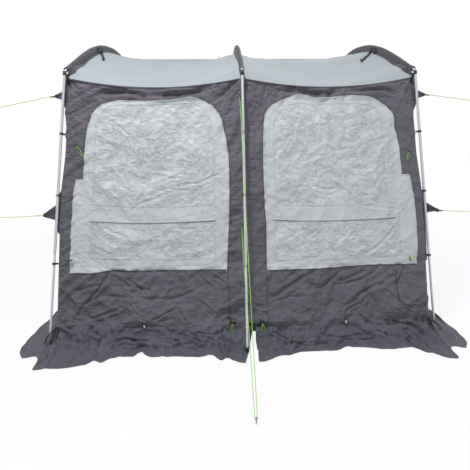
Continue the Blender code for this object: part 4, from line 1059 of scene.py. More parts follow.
def settle(points, spare, hold, frames=20, weight=0.1, bend=0.01):
    """Lets a grid of points come to rest as cloth.

    spare is the share by which the cloth is cut longer than the gap that it fills, and hold how firmly each
    point is kept in its place, from 0 to 1.
    """
    rows, columns = points.shape[:2]
    faces = grid(np.arange(rows), np.arange(columns))[2]
    mesh = bpy.data.meshes.new("settling")
    mesh.from_pydata(points.reshape(-1, 3).tolist(), [], faces)
    body = bpy.data.objects.new("settling", mesh)
    bpy.context.scene.collection.objects.link(body)
    spare = np.broadcast_to(spare, points.shape[:2])
    least, most = float(spare.min()), float(spare.max())
    shares = (spare - least) / max(most - least, 1e-9)
    for name, values in (("held", hold), ("spare", shares)):
        group = body.vertex_groups.new(name=name)
        steps = np.round(values.ravel(), 3)
        for step in np.unique(steps[steps > 0]):
            group.add(np.nonzero(steps == step)[0].tolist(), float(step), "REPLACE")
    cloth = body.modifiers.new("cloth", "CLOTH")
    feel = cloth.settings
    feel.quality = 5
    feel.mass = 0.01
    feel.tension_stiffness = feel.compression_stiffness = 80
    feel.shear_stiffness = 20
    feel.bending_stiffness = bend
    feel.tension_damping = feel.compression_damping = feel.shear_damping = 5
    feel.air_damping = 1
    feel.vertex_group_mass = "held"
    feel.pin_stiffness = 1.0
    feel.vertex_group_shrink = "spare"
    feel.shrink_min, feel.shrink_max = -least, -most
    feel.effector_weights.gravity = weight
    cloth.collision_settings.use_collision = False
    cloth.point_cache.frame_start, cloth.point_cache.frame_end = 1, frames
    for frame in range(1, frames + 1):
        bpy.context.scene.frame_set(frame)
    shape = body.evaluated_get(bpy.context.evaluated_depsgraph_get())
    out = np.empty(rows * columns * 3, np.float32)
    shape.data.vertices.foreach_get("co", out)
    bpy.data.objects.remove(body)
    bpy.context.scene.frame_set(1)
    out = out.reshape(points.shape).astype(float)
    return out if np.isfinite(out).all() else np.array(points)


def limited(moved, most=0.035):
    """The same moves, with none longer than most."""
    size = np.linalg.norm(moved, axis=-1, keepdims=True)
    return moved * np.minimum(1, most / np.maximum(size, 1e-6))


def area_of(points):
    """The area of a grid of points."""
    across, down = points[1:, :-1] - points[:-1, :-1], points[:-1, 1:] - points[:-1, :-1]
    return float(np.linalg.norm(np.cross(across, down), axis=-1).sum())


def cut_area(points, flat, least):
    """The area of a grid of points, kept between a share of the box it is cut from and the whole box."""
    return float(np.clip(area_of(points), least * flat[0] * flat[1], flat[0] * flat[1]))


class Field:
    """Offsets known on a regular grid over a surface, read anywhere between its points."""

    def __init__(self, low, high, values):
        self.low, self.high, self.values = np.array(low, float), np.array(high, float), values

    def at(self, a, b):
        """The offset at the given places, blended from the four points around each."""
        counts = np.array(self.values.shape[:2]) - 1
        x = np.clip((a - self.low[0]) / (self.high[0] - self.low[0]), 0, 1) * counts[0]
        y = np.clip((b - self.low[1]) / (self.high[1] - self.low[1]), 0, 1) * counts[1]
        i, j = np.minimum(x.astype(int), counts[0] - 1), np.minimum(y.astype(int), counts[1] - 1)
        fx, fy = (x - i)[..., None], (y - j)[..., None]
        v = self.values
        return ((v[i, j] * (1 - fx) + v[i + 1, j] * fx) * (1 - fy)
                + (v[i, j + 1] * (1 - fx) + v[i + 1, j + 1] * fx) * fy)


# The front wall's cloth: one fine net of triangles, cut along every seam, then shared out
WAVES = Noise(11)
NET = 0.0065  # the net's spacing
LOWER_B = 0.40  # the cloth below this height settles together with the flaps
STRIP_TOP, CENTRE_TOP = 1.03, 1.15  # where the strips beside and between the doors end below the top band
LEAST_CUT = 0.301  # a piece is counted as at least this share of the box that it is cut from
# Where the front is held: at the middle pole, the hem and both side poles
PINS = [(0.0, 1.60), (0.0, 1.341), (0.0, 0.904), (0.0, 0.427), (-0.06, 0.01), (0.10, 0.01)]
for side in SIDES.values():
    PINS += [(side * 1.27, b) for b in (1.70, 1.341, 0.904, 0.427, 0.02)]
# Each pole's top on the front, with the reach and the height of the folds that fan out from it
POLE_TOPS = (((-1.27, 1.74), 0.22, 0.014), ((0, 1.745), 0.26, 0.013), ((1.27, 1.74), 0.24, 0.014))


def folded(a, b, scale, depth, seed):
    """Long soft folds with sharp bottoms, bent by a slow swirl."""
    x = a * scale + 1.6 * WAVES.wave(a * scale * 0.35 + seed, b * scale * 0.35) + seed
    y = b * scale + 1.6 * WAVES.wave(a * scale * 0.35, b * scale * 0.35 + 7 + seed)
    return depth * (1.1 - 2.2 * np.abs(WAVES.wave(x, y * 1.25)) ** 0.8)


def creased(a, b, scale, depth):
    """The broken facets of film that has been crumpled and pulled flat again."""
    x = a * scale + 0.45 * WAVES.wave(a * scale * 0.9, b * scale * 0.9)
    y = b * scale * 1.15 + 0.45 * WAVES.wave(a * scale * 0.9 + 9, b * scale * 0.9)
    return depth * (np.clip(WAVES.cells(x, y), 0, 0.5) * 1.6 + 1.1 * WAVES.wave(x * 0.7, y * 0.7) - 0.4)


def billow(a, b):
    """How far the cloth's larger folds stand out of its smooth surface, in metres."""
    slack = np.clip(np.sin(math.pi * np.clip((abs(a) - 0.02) / 1.25, 0, 1)), 0, 1) ** 0.6
    out = 0.020 * WAVES.wave(a * 2.1 + 5, b * 1.7) * slack + 0.010 * WAVES.wave(a * 5.5, b * 4.6 + 9) * slack
    low = np.clip((LOWER_B - b) / 0.05, 0, 1)
    out += (0.30 + 0.70 * low) * (folded(a, b, 5.0, 0.0065, 0.0) + folded(a, b, 11.0, 0.0034, 4.0))
    for width, depth, line in FOLDS:
        low_part = line[0][1] < 0.42
        out += crease(a, b, line, width * (1.1 if low_part else 0.9), depth * (2.8 if low_part else 1.1))
    for pin in PINS:
        out += drag(a, b, pin, 9, 0.14, 0.0050, WAVES, 0.01)
    for pin, reach, height in POLE_TOPS:
        out += drag(a, b, pin, 8, reach, height, WAVES, 0.0)
    return out * edges_of(a, b)


def edges_of(a, b):
    """0 on the front's outer edges, 1 everywhere but close to them."""
    up = np.clip(b / 0.03, 0, 1) * np.clip((WALL_B - b) / 0.03, 0, 1)
    return up * np.clip((WALL_A - abs(a)) / 0.02, 0, 1)


def crumple(x, y, turn=0.6):
    """Sharp creases of cloth that was packed: broad facets with finer ones in them, longer one way."""
    along, across = x * np.cos(turn) + y * np.sin(turn), y * np.cos(turn) - x * np.sin(turn)
    out = 0.0150 * WAVES.facets(along * 2.6 + 7, across * 6)
    out += 0.0105 * WAVES.facets(along * 6 + 40, across * 15)
    return out + 0.0042 * WAVES.facets(along * 16, across * 34 + 20)


def door_shares(a, b):
    """For each point of the front: 1 on window film, 1 on a pale panel or film, both fading at the edges."""
    film_part, pale_part = np.zeros(a.shape), np.zeros(a.shape)
    for (_, word), loop in WINDOWS.items():
        shape = mirrored(loop, SIDES[word])
        far, _ = away(a, b, shape + shape[:1])
        film_part += inside(a, b, shape) * np.clip(far / 0.04, 0, 1)
    for word, side in SIDES.items():
        shape = mirrored([p for p in DOOR_EDGE[word] if p[1] > 0.35] + SKIRT_EDGE[word][::-1], side)
        far, _ = away(a, b, shape + shape[:1])
        pale_part += inside(a, b, shape) * np.clip(far / 0.03, 0, 1)
    return film_part, pale_part


def front_crumple(a, b):
    """How far the cloth's fine creases stand out: film and pale panels have their own."""
    film_part, pale_part = door_shares(a, b)
    out = (creased(a, b, 7.0, 0.0036) + creased(a, b, 17.0, 0.0022)) * film_part
    out += crumple(a, b, 0.5 + 0.35 * np.sin(a * 2.2)) * (1 - 0.85 * pale_part)
    strip = np.clip((0.16 - abs(a)) / 0.04, 0, 1) + np.clip((abs(a) - 1.235) / 0.02, 0, 1)
    out += 0.0040 * WAVES.wave(a * 5 + b * 6, b * 34) * np.clip(strip, 0, 1)
    return out * edges_of(a, b)


# The lower front: the skirt and the mud flap below it are one settled cloth, sewn at the hem
SLIT_A = 0.052  # where the two front flaps part, below the middle of the hem
FLAP_Z = 0.0015  # the flaps' middle surface on the ground
FLAP_DEPTH = 0.40
HEM_HOLDS = (-1.24, -0.66, -0.06, 0.10, 0.667, 1.24)  # where pegs and straps hold the hem


def swept(top, bend, outer, t):
    """Points of a curve from top to outer that turns at bend."""
    t = t[..., None]
    return top * (1 - t) ** 2 + bend * 2 * t * (1 - t) + outer * t ** 2


def flap_smooth(a, t):
    """The front flaps without their folds: a across, t from the hem to the edge on the ground."""
    outer = np.zeros((*a.shape, 3))
    for word, side in SIDES.items():
        share = np.clip((a - SLIT_A) / (side * WALL_A - SLIT_A), 0, 1)
        edge = smooth([(x, y - MIDDLE_Y, FLAP_Z) for x, y in FLAP_EDGE[word]], 300)
        here = read(edge, np.linspace(0, 1, len(edge)), share)
        outer = np.where(((a - SLIT_A) * side > 0)[..., None], here, outer)
    top = hem(a / WALL_A)
    bend = stack((top[..., 0] + outer[..., 0]) / 2, top[..., 1] - 0.035, np.full(a.shape, FLAP_Z))
    return swept(top, bend, outer, t)


def normals_of(points):
    """Unit normals of a grid of points."""
    du, dv = np.gradient(points, axis=0), np.gradient(points, axis=1)
    way = np.cross(du, dv)
    return way / np.maximum(np.linalg.norm(way, axis=-1, keepdims=True), 1e-9)


def crumple_seed(x, y):
    """The uneven start that cloth settles from."""
    waves = 0.0055 * WAVES.wave(x * 9 + 3, y * 12) + 0.0030 * WAVES.wave(x * 21, y * 19)
    return waves + folded(x, y, 6.0, 0.006, 2.0)


def settle_lower():
    """Settles the skirts and flaps together; returns the front's offsets and the flaps' points."""
    step = 0.0135 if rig.quick() else 0.0100
    rows = round(LOWER_B / step)
    widths = np.linspace(-WALL_A, WALL_A, round(2 * WALL_A / step) + 1)
    a, b, _ = grid(widths, np.linspace(LOWER_B, 0, rows + 1))
    a2, t, _ = grid(widths, np.linspace(0, 1, round(FLAP_DEPTH / step) + 1)[1:])
    base = np.concatenate([flat_wall(a, b), flap_smooth(a2, t)], 1)
    way = normals_of(base)
    way *= np.sign(way[..., 2:] - way[..., 1:2] + 1e-9)
    far = np.concatenate([b, -t * FLAP_DEPTH], 1)
    wide = np.concatenate([a, a2], 1)
    seed = np.concatenate([billow(a, b), np.zeros(t.shape)], 1) + crumple_seed(wide, far + 3)
    rim = (abs(wide) > WALL_A - 0.5 * step) | (far > LOWER_B - 0.5 * step) | (far < -FLAP_DEPTH + 0.2 * step)
    start = base + way * np.where(rim, 0, seed)[..., None]
    hold = np.where(far > 0, 0.004, 0.002)
    hold[abs(far) < 0.5 * step] = 0.01
    for x in HEM_HOLDS:
        hold[np.hypot(wide - x, far - 0.01) < 1.2 * step] = 0.6
    hold[np.hypot(wide, far - LOWER_B) < 0.03] = 0.6
    hold[rim] = 1.0
    start[..., 2] = np.maximum(start[..., 2], FLAP_Z)
    spare = np.where(far > 0, 0.040, 0.055)
    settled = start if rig.quick() else settle(start, spare, hold, 20, 0.25)
    moved = limited(settled - base)
    moved[rim] = 0
    across, down = wide[:, rows:], far[:, rows:]
    down_row = np.arange(across.shape[1])
    fade = np.clip(down_row / 4, 0, 1) * np.clip((down_row[-1] - down_row) / 3, 0.25, 1)
    out = 1.8 * crumple(across, down + 8, 0.2 + 0.5 * np.sin(across * 2.6))
    out += 0.010 * np.sin(math.pi * np.clip(-down / FLAP_DEPTH, 0, 1))
    for width, depth, line in FLAP_FOLDS:
        out += crease(across, down, line, width, depth)
    flaps = (base + moved)[:, rows:] + way[:, rows:] * (out * fade)[..., None]
    lift = 0.0015 + 0.003 * (1 + WAVES.wave(across * 30, down * 30))
    flaps[:, 1:, 2] = np.maximum(flaps[..., 2], lift)[:, 1:]
    return Field((-WALL_A, 0), (WALL_A, LOWER_B), moved[:, :rows + 1][:, ::-1]), across, flaps


def settle_upper():
    """Settles the doors' upper parts, the strips beside them and the top band."""
    us, vs = np.linspace(-WALL_A, WALL_A, 171), np.linspace(LOWER_B, WALL_B, 91)
    a, b, _ = grid(us, vs)
    base = flat_wall(a, b)
    start = base + wall_way(a, b) * (billow(a, b) + 0.5 * crumple_seed(a, b))[..., None]
    rim = (a < us[1]) | (a > us[-2]) | (b < vs[1]) | (b > vs[-2])
    start[rim] = base[rim]
    hold = np.full(a.shape, 0.012)
    for pin in PINS:
        hold[np.hypot(a - pin[0], b - pin[1]) < 0.016] = 0.8
    hold[rim] = 1.0
    top, outer, middle = (b - 1.60) / 0.06, (abs(a) - 1.15) / 0.05, (0.14 - abs(a)) / 0.05
    band = sum(np.clip(part, 0, 1) for part in (top, outer, middle))
    spare = 0.008 + 0.016 * np.clip(band, 0, 1)
    moved = limited(settle(start, spare, hold, 16, 0.1, 0.004) - base, 0.034)
    moved[rim] = 0
    return Field((-WALL_A, LOWER_B), (WALL_A, WALL_B), moved)


LOWER, FLAP_ACROSS, FLAP_POINTS = settle_lower()
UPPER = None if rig.quick() else settle_upper()


def wall_point(a, b, out=0.0):
    """A point of the front wall's cloth with all its folds, or one that stands out of it."""
    a, b = np.broadcast_arrays(np.asarray(a, float), np.asarray(b, float))
    way = wall_way(a, b)
    placed = flat_wall(a, b) + way * (front_crumple(a, b) + out)[..., None]
    upper = way * billow(a, b)[..., None] if UPPER is None else UPPER.at(a, b)
    return placed + np.where((b < LOWER_B)[..., None], LOWER.at(a, b), upper)


def dense(loop, spacing, closed=True):
    """Points along straight lines from corner to corner, no further apart than the spacing."""
    out = []
    for (ax, ay), (bx, by) in zip(loop, loop[1:] + (loop[:1] if closed else [])):
        steps = max(1, math.ceil(math.hypot(bx - ax, by - ay) / spacing - 1e-6))
        out += [(ax + (bx - ax) * k / steps, ay + (by - ay) * k / steps) for k in range(steps)]
    return out if closed else out + [tuple(loop[-1])]


def front_net():
    """Points, triangles and each triangle's region on the flat front."""
    chains = [(dense([(-WALL_A, 0), (WALL_A, 0), (WALL_A, WALL_B), (-WALL_A, WALL_B)], NET), True)]
    for word, side in SIDES.items():
        chains.append((dense(mirrored(DOOR_EDGE[word], side), NET, False), False))
        chains.append((dense(mirrored(SKIRT_EDGE[word], side), NET, False), False))
        for level in ("upper", "lower"):
            chains.append((dense(mirrored(WINDOWS[level, word], side), NET), True))
    for start, end, top in ((-WALL_A, -1.19, STRIP_TOP), (WALL_A, 1.20, STRIP_TOP),
                            (-0.108, 0.148, CENTRE_TOP)):
        chains.append((dense([(start, top), (end, top)], NET, False), False))
    points, edges = [], []
    for chain, closed in chains:
        first = len(points)
        points += chain
        edges += [(first + k, first + k + 1) for k in range(len(chain) - 1)]
        if closed:
            edges.append((first + len(chain) - 1, first))
    rim = np.array(points)
    taken = set(map(tuple, np.floor(rim / (0.6 * NET)).astype(int)))
    drawn = np.random.RandomState(3)
    rows = int(WALL_B / (NET * 0.9))
    for j in range(1, rows):
        for i in range(int(2 * WALL_A / NET)):
            a = -WALL_A + NET * (i + 0.5 + 0.5 * (j % 2)) + NET * 0.3 * (drawn.rand() - 0.5)
            b = WALL_B * j / rows + NET * 0.3 * (drawn.rand() - 0.5)
            if not -WALL_A + 0.5 * NET < a < WALL_A - 0.5 * NET:
                continue
            cell = (math.floor(a / (0.6 * NET)), math.floor(b / (0.6 * NET)))
            if any((cell[0] + p, cell[1] + q) in taken for p in (-1, 0, 1) for q in (-1, 0, 1)):
                continue
            points.append((a, b))
    verts, _, triangles = delaunay_2d_cdt([Vector(p) for p in points], edges, [], 0, 1e-5, False)[:3]
    flat = np.array([v[:] for v in verts])
    triangles = np.array(triangles)
    middle = flat[triangles].mean(1)
    a, b = middle[:, 0], middle[:, 1]
    one, two = flat[triangles[:, 1]] - flat[triangles[:, 0]], flat[triangles[:, 2]] - flat[triangles[:, 0]]
    area = (one[:, 0] * two[:, 1] - one[:, 1] * two[:, 0]) / 2
    region = np.full(len(triangles), "top_band", dtype=object)
    region[(b < STRIP_TOP) & (a < -1.0)] = "corner_strip_left"
    region[(b < STRIP_TOP) & (a > 1.0)] = "corner_strip_right"
    region[(b < CENTRE_TOP) & (abs(a) < 0.3)] = "centre_strip"
    for word, side in SIDES.items():
        door = inside(a, b, mirrored(DOOR_EDGE[word], side))
        region[door] = "door_panel_" + word
        edge = np.array(SKIRT_EDGE[word])[::-1]
        region[door & (b < np.interp(side * a, edge[:, 0], edge[:, 1]))] = "door_skirt_" + word
        for level in ("upper", "lower"):
            region[inside(a, b, mirrored(WINDOWS[level, word], side))] = f"window_{level}_{word}"
    return flat, triangles, region, area


def make_front():
    """Shares the net out into pieces of cloth, each with its material and the body it rides on."""
    flat, triangles, region, area = front_net()
    placed = wall_point(flat[:, 0], flat[:, 1])
    for name in sorted(set(region)):
        own = (region == name) & (area > 1e-9)
        used, faces = np.unique(triangles[own], return_inverse=True)
        word = name.split("_")[-1]
        body = f"door_{word}" if name.startswith(("door", "window")) else "root"
        look = FILM if name.startswith("window") else DOOR if name.startswith("door_panel") else WALL
        replaces = [name] if body != "root" else ["front_surround"]
        made = piece(name + "_cloth", placed[used], faces.reshape(-1, 3), look, body, flat[used], replaces)
        size = flat[used].max(0) - flat[used].min(0)
        cut = max(area[own].sum(), LEAST_CUT * size[0] * size[1])
        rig.sheet(made, flat=tuple(map(float, size)), held="stretched", area=float(cut))


make_front()


# Hoops, sleeves and roof
HOOP_LINE = smooth([(DEPTH * y - MIDDLE_Y, HOOP_START_Z + HOOP_RISE * z) for y, z in HOOP_SHARES], 180)
HOOP_LENGTH = length_of(HOOP_LINE)
HOOP_SPOTS = np.linspace(0, 1, len(HOOP_LINE))
STATION = 1 / 18  # over this first share of the hoop, roof and side walls turn into the front's edges


def smoothed(x):
    """From 0 to 1 without a kink, as x goes from 0 to 1."""
    x = np.clip(x, 0, 1)
    return x * x * (3 - 2 * x)


def narrowed(t):
    """The middle sleeve's width along the hoop: slim above the pole, full from a third of the way on."""
    return 0.58 + 0.42 * smoothed((t - 0.05) / 0.28)


def hoop_at(t):
    """A point of the hoop and the direction square to it, upwards, as (y, z) pairs."""
    t = np.asarray(t, float)
    ahead = units(read(HOOP_LINE, HOOP_SPOTS, t + 0.01) - read(HOOP_LINE, HOOP_SPOTS, t - 0.01))
    return read(HOOP_LINE, HOOP_SPOTS, t), left_of(ahead)


def roof_smooth(side, s, t):
    """The roof panel without its ripples: s from the middle hoop to the side hoop, t from front to back."""
    late = np.maximum(t, STATION)
    inner, outer = SLEEVE_EDGE * narrowed(late), HOOP_X - SLEEVE_EDGE
    x = inner + (outer - inner) * s
    p, _ = hoop_at(late)
    grow = np.sin(math.pi * np.minimum(1, late ** 0.8)) ** 0.7
    z = p[..., 1] - (1 - (2 * s - 1) ** 2) * (ROOF_SAG * grow + SEAM_SAG * (1 - late) ** 3)
    rear = smoothed((1 - late) / 0.12)
    middle_drop = 0.060 * (1 - s) ** 3 * smoothed((late - 0.12) / 0.30)
    z = z - rear * (middle_drop + 0.042 * s ** 3 * smoothed((late - 0.06) / 0.16))
    back = stack(side * x, p[..., 0], z)
    return between(seam(side * x / CORNER_TOP_X), back, np.clip(t / STATION, 0, 1))


def make_roof(word, side):
    """A roof panel with its waves and ripples."""
    s, t, faces = grid(np.linspace(0, 1, 111), np.linspace(0, 1, 181))
    base = roof_smooth(side, s, t)
    way = normals_of(base)
    way *= np.sign(way[..., 2:])
    edge = from_ends(s, 0.05) * from_ends(t, 0.03)
    x, y = s * 1.22 * side + 20, t * HOOP_LENGTH
    near_pole = np.exp(-np.minimum(s, 1 - s) * 9)
    out = 0.010 * WAVES.wave(x * 1.6, y * 2.2 + 31)
    out += 0.0045 * WAVES.wave(x * 3.4 + y * 2.5, y * 5.0 - x * 2.0)
    out += 0.004 * near_pole * WAVES.wave(x * 4, y * 16) + 0.0022 * WAVES.wave(x * 9, y * 3.5 + 7)
    out += 0.006 * np.exp(-t * 16) * WAVES.wave(x * 12, y * 2)
    out += 0.005 * np.exp(-(1 - t) * 14) * WAVES.wave(x * 14, y * 3)
    made = piece(f"roof_cloth_{word}", base + way * (out * edge)[..., None], faces, ROOF, uv=stack(x, y),
                 replaces=[f"roof_{word}"])
    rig.sheet(made, flat=(1.26, round(HOOP_LENGTH, 3)), held="stretched")


def make_sleeve(word, x):
    """The dark sleeve that holds a hoop, gathered a little along its seams."""
    t = np.linspace(0.034 / HOOP_LENGTH, 1, 321)
    p, up = hoop_at(t)
    line = stack(np.full(t.shape, x), p[:, 0], p[:, 1])
    turns = 20
    turn = 2 * np.pi * (np.arange(turns) + 0.5) / turns
    along = t[:, None] * HOOP_LENGTH
    round_turn = np.cos(turn)[None] * 2 + 5
    puckers = 0.07 * WAVES.wave(round_turn * 1.3 + x * 3, along * 34)
    puckers = puckers + 0.05 * WAVES.wave(round_turn * 2 + x, along * 90)
    radius = SLEEVE_R * (0.93 + puckers) * (narrowed(t)[:, None] if x == 0 else 1.0)
    points = (line[:, None] + radius[..., None] * (np.cos(turn)[None, :, None] * np.array([1.0, 0, 0])
              + np.sin(turn)[None, :, None] * stack(np.zeros(len(t)), up[:, 0], up[:, 1])[:, None]))
    made = piece(f"sleeve_{word}", points, ring_faces(len(t), turns), SLEEVE,
                 uv=stack(turn[None] * SLEEVE_R, along), replaces=[f"hoop_sleeve_{word}"])
    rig.sheet(made, flat=(math.pi * SLEEVE_R, HOOP_LENGTH - SLEEVE_START), held="gathered")


def make_bridge():
    """The roof cloth in front of the middle pole, between the two panels."""
    k, t, faces = grid(np.linspace(-1, 1, 13), np.linspace(0, STATION * 1.3, 12))
    points = between(roof_smooth(-1, 0 * t, t), roof_smooth(1, 0 * t, t), (k + 1) / 2)
    points[..., 2] -= 0.014 * (1 - k * k) * smoothed(t / STATION)
    made = piece("roof_bridge", points, faces, ROOF, uv=stack(k * 0.02, t * 2))
    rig.sheet(made, flat=(0.04, 0.16), held="stretched", area=float(np.clip(area_of(points), 0.002, 0.0064)))


def make_web(name, x, side):
    """The dark strip that joins a sleeve to the roof panel beside it; side is the side of the panel."""
    towards = side if x == 0 else -side
    t, k, faces = grid(np.linspace(0.002, 0.995, 281), np.linspace(0, 1, 9))
    p, _ = hoop_at(t)
    s_edge = 0.0 if x == 0 else 1.0
    wide = 0.007 if x == 0 else -0.013 - 0.021 * (1 - smoothed((t - 0.05) / 0.2))
    lap = wide * smoothed(t / 0.05)
    thin = narrowed(t) if x == 0 else 1.0
    low_z = p[..., 1] - 0.004 - 0.020 * (1 - smoothed(t / 0.03))
    top = stack(x + towards * 0.0165 * thin + 0 * t, p[..., 0], low_z)
    edge, inner = roof_smooth(side, s_edge + 0 * t, t), roof_smooth(side, s_edge + lap + 0 * t, t)
    inner[..., 2] += 0.0030
    edge[..., 2] += 0.0022
    low, high = np.clip(k / 0.7, 0, 1), np.clip((k - 0.7) / 0.3, 0, 1)
    points = between(top, edge, low) + (inner - edge) * high[..., None]
    ripple = 0.0022 * WAVES.wave(t * 90 + x * 5, k * 1.5 + side) * np.sin(math.pi * low)
    points[..., 0] += towards * (ripple + 0.0022 * np.sin(math.pi * low))
    points[..., 2] += 0.0016 * WAVES.wave(t * 120 + 3 + x, k * 2) * np.clip((k - 0.8) / 0.2, 0, 1)
    made = piece(name, points, faces, SLEEVE, uv=stack(k * 0.05, t * HOOP_LENGTH))
    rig.sheet(made, flat=(0.085, round(HOOP_LENGTH, 3)), held="stretched",
             area=max(area_of(points), 0.31 * 0.085 * HOOP_LENGTH))


HOOPS = {"left": -HOOP_X, "centre": 0.0, "right": HOOP_X}
make_bridge()
for word, side in SIDES.items():
    make_roof(word, side)
    make_web(f"sleeve_strip_{word}", HOOPS[word], side)
    make_web(f"sleeve_strip_centre_{word}", 0.0, side)
for word, x in HOOPS.items():
    make_sleeve(word, x)


# Side walls
CORNER_CUT = 0.985  # the side wall's front edge ends this far up the front's edge


def side_smooth(side, t, v):
    """A side wall without its folds: v from the hem to the sleeve, t from the front corner to the rail."""
    late = np.maximum(t, STATION)
    p, up = hoop_at(late)
    y_share = (p[..., 0] + MIDDLE_Y) / DEPTH
    low = stack(side * (CORNER_LOW_X + (REAR_X - CORNER_LOW_X) * y_share),
                CORNER_LOW_Y + (DEPTH - CORNER_LOW_Y) * y_share - MIDDLE_Y, HEM_Z + 0 * t)
    under = p - up * SLEEVE_EDGE
    high = stack(side * HOOP_X + 0 * t, under[..., 0], under[..., 1])
    corner = flat_wall(side * WALL_A + 0 * t, v * CORNER_CUT * WALL_B)
    return between(corner, between(low, high, v), np.clip(t / STATION, 0, 1))


def make_side(word, side):
    """A side wall, settled and creased."""
    t, v, faces = grid(np.linspace(0, 1, 171), np.linspace(0, 1, 171))
    base = side_smooth(side, t, v)
    way = normals_of(base)
    way *= np.sign(way[..., :1]) * side
    edge = from_ends(t, 0.04) * from_ends(v, 0.04)
    x, y = t * 2.0, v * 1.9
    out = 0.022 * WAVES.wave(x * 1.5 + side, y * 1.2)
    out += 0.008 * WAVES.wave(x * 3.3 - y * 1.5 + 3 * side, y * 2.6)
    out += (0.004 * WAVES.wave(x * 8 + y * 5, y * 4) * np.exp(-t * 4)
            + 0.0035 * WAVES.wave(x * 10, y * 9 + side))
    fine = way * (0.7 * crumple(x + 30 + side, y, 1.1) * edge)[..., None]
    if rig.quick():
        points = base + way * (out * edge)[..., None]
    else:
        few = slice(None, None, 2)
        hold = np.where(edge[few, few] <= 0, 1.0, 0.006)
        start = (base + way * ((out + crumple_seed(x, y)) * edge)[..., None])[few, few]
        moved = limited(settle(start, 0.014, hold, 16, 0.1, 0.004) - base[few, few])
        points = base + Field((0, 0), (1, 1), moved).at(t, v)
    made = piece(f"side_cloth_{word}", points + fine, faces, WALL, uv=stack(x, y),
                 replaces=[f"side_wall_{word}"])
    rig.sheet(made, flat=(2.0, 2.0), held="stretched", area=3.55)


for word, side in SIDES.items():
    make_side(word, side)


# Mud flaps on the ground
def make_finer(made):
    """Rounds a piece's mesh once."""
    finer = made.modifiers.new("finer", "SUBSURF")
    finer.levels = finer.render_levels = 1


def make_front_flap(word, side):
    """One half of the settled sheeting below the front's hem."""
    own = np.nonzero((FLAP_ACROSS[:, 0] - SLIT_A) * side > 0)[0]
    points = FLAP_POINTS[own]
    _, t, faces = grid(np.arange(points.shape[0]), np.linspace(0, 1, points.shape[1]))
    made = piece(f"mud_flap_{word}", points, faces, SHEETING, uv=stack(FLAP_ACROSS[own], t * FLAP_DEPTH + 3),
                 replaces=[f"mud_flap_front_{word}"])
    make_finer(made)
    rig.sheet(made, flat=(WALL_A, 0.44), held="hung", area=area_of(points))


def make_side_flap(word, side):
    """The sheeting below a side wall; returns its front edge."""
    routes = [[(side * (CORNER_LOW_X + FLAP_REACH * x), DEPTH * y - MIDDLE_Y, FLAP_Z) for x, y in shares]
              for shares in (SIDE_FLAP_EDGE, SIDE_FLAP_MID)]
    outer, mid = [smooth(route, 160) for route in routes]
    y = DEPTH * np.linspace(-0.0452, 0.9972, len(outer))
    y_share = (y - CORNER_LOW_Y) / (DEPTH - CORNER_LOW_Y)
    top = stack(side * (CORNER_LOW_X + (REAR_X - CORNER_LOW_X) * y_share), y - MIDDLE_Y, HEM_Z)
    k, t, faces = grid(np.arange(len(outer)), np.linspace(0, 1, 26))
    base = swept(top[k], mid[k], outer[k], t)
    way = normals_of(base)
    way *= np.sign(way[..., 2:] + side * way[..., :1] + 1e-9)
    rim = (t < 0.01) | (t > 0.99)
    start = base + way * np.where(rim, 0, crumple_seed(y[k] + 5 * side, t * 0.3))[..., None]
    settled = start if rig.quick() else settle(start, 0.055, np.where(rim, 1.0, 0.002), 20, 0.25)
    fine = crumple(y[k] + 9, t * 0.3) * np.clip(t * 6, 0, 1) * np.clip((1 - t) * 6, 0.25, 1)
    points = base + limited(settled - base) + way * fine[..., None]
    lift = 0.0015 + 0.003 * (1 + WAVES.wave(y[k] * 30, t * 9))
    points[:, 1:, 2] = np.maximum(points[..., 2], lift)[:, 1:]
    made = piece(f"side_flap_{word}", points, faces, SHEETING, uv=stack(y[k], t * 0.3),
                 replaces=[f"mud_flap_side_{word}"])
    make_finer(made)
    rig.sheet(made, flat=(1.87, 0.40), held="hung", area=area_of(points))
    return points[0]


FLAP_CORNER = {  # the outer points of each corner of the flaps: the front tip, the notch, and the side tip
    "left": [(-1.325, -1.2500), (-1.371, -1.085), (-1.476, -1.078)],
    "right": [(1.352, -1.2300), (1.372, -1.075), (1.484, -1.075)],
}


def make_flap_corner(word, side, last):
    """The fan of sheeting between a front flap and a side flap, whose front edge is last."""
    outer = smooth([(x, y, FLAP_Z) for x, y in FLAP_CORNER[word]], 40)
    first = FLAP_POINTS[0 if side < 0 else -1]
    top = first[0]
    k, t, faces = grid(np.linspace(0, 1, 41), np.linspace(0, 1, 31))
    fan = between(top, outer[:, None], t)
    fan[..., 2] = FLAP_Z + (top[2] - FLAP_Z) * (1 - t) ** 2.2 + 0.012 * np.sin(math.pi * t)
    edges = [read(line, np.linspace(0, 1, len(line)), t[0])[None] for line in (first, last)]
    points = between(between(*edges, k), fan, (np.minimum(k, 1 - k) * 4).clip(0, 1))
    fold = 0.016 * np.sin(k * 4 * math.pi + 0.7) * np.sin(math.pi * k)
    fold *= np.sin(math.pi * np.clip(t, 0, 1)) ** 0.7
    fine = crumple(k * 0.3 + 5 + side, t * 0.3, 0.8) * np.sin(math.pi * t) * (k * (1 - k) * 4)
    points[..., 2] += fold + fine
    points[:, 1:, 2] = np.maximum(points[:, 1:, 2], 0.002)
    made = piece(f"flap_corner_{word}", points, faces, SHEETING, uv=stack(k * 0.3 + 8, t * 0.4))
    flat = (0.36, 0.38)
    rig.sheet(made, flat=flat, held="hung", area=cut_area(points, flat, 0.31))


for word, side in SIDES.items():
    make_front_flap(word, side)
    front_edge = make_side_flap(word, side)
    make_flap_corner(word, side, front_edge)
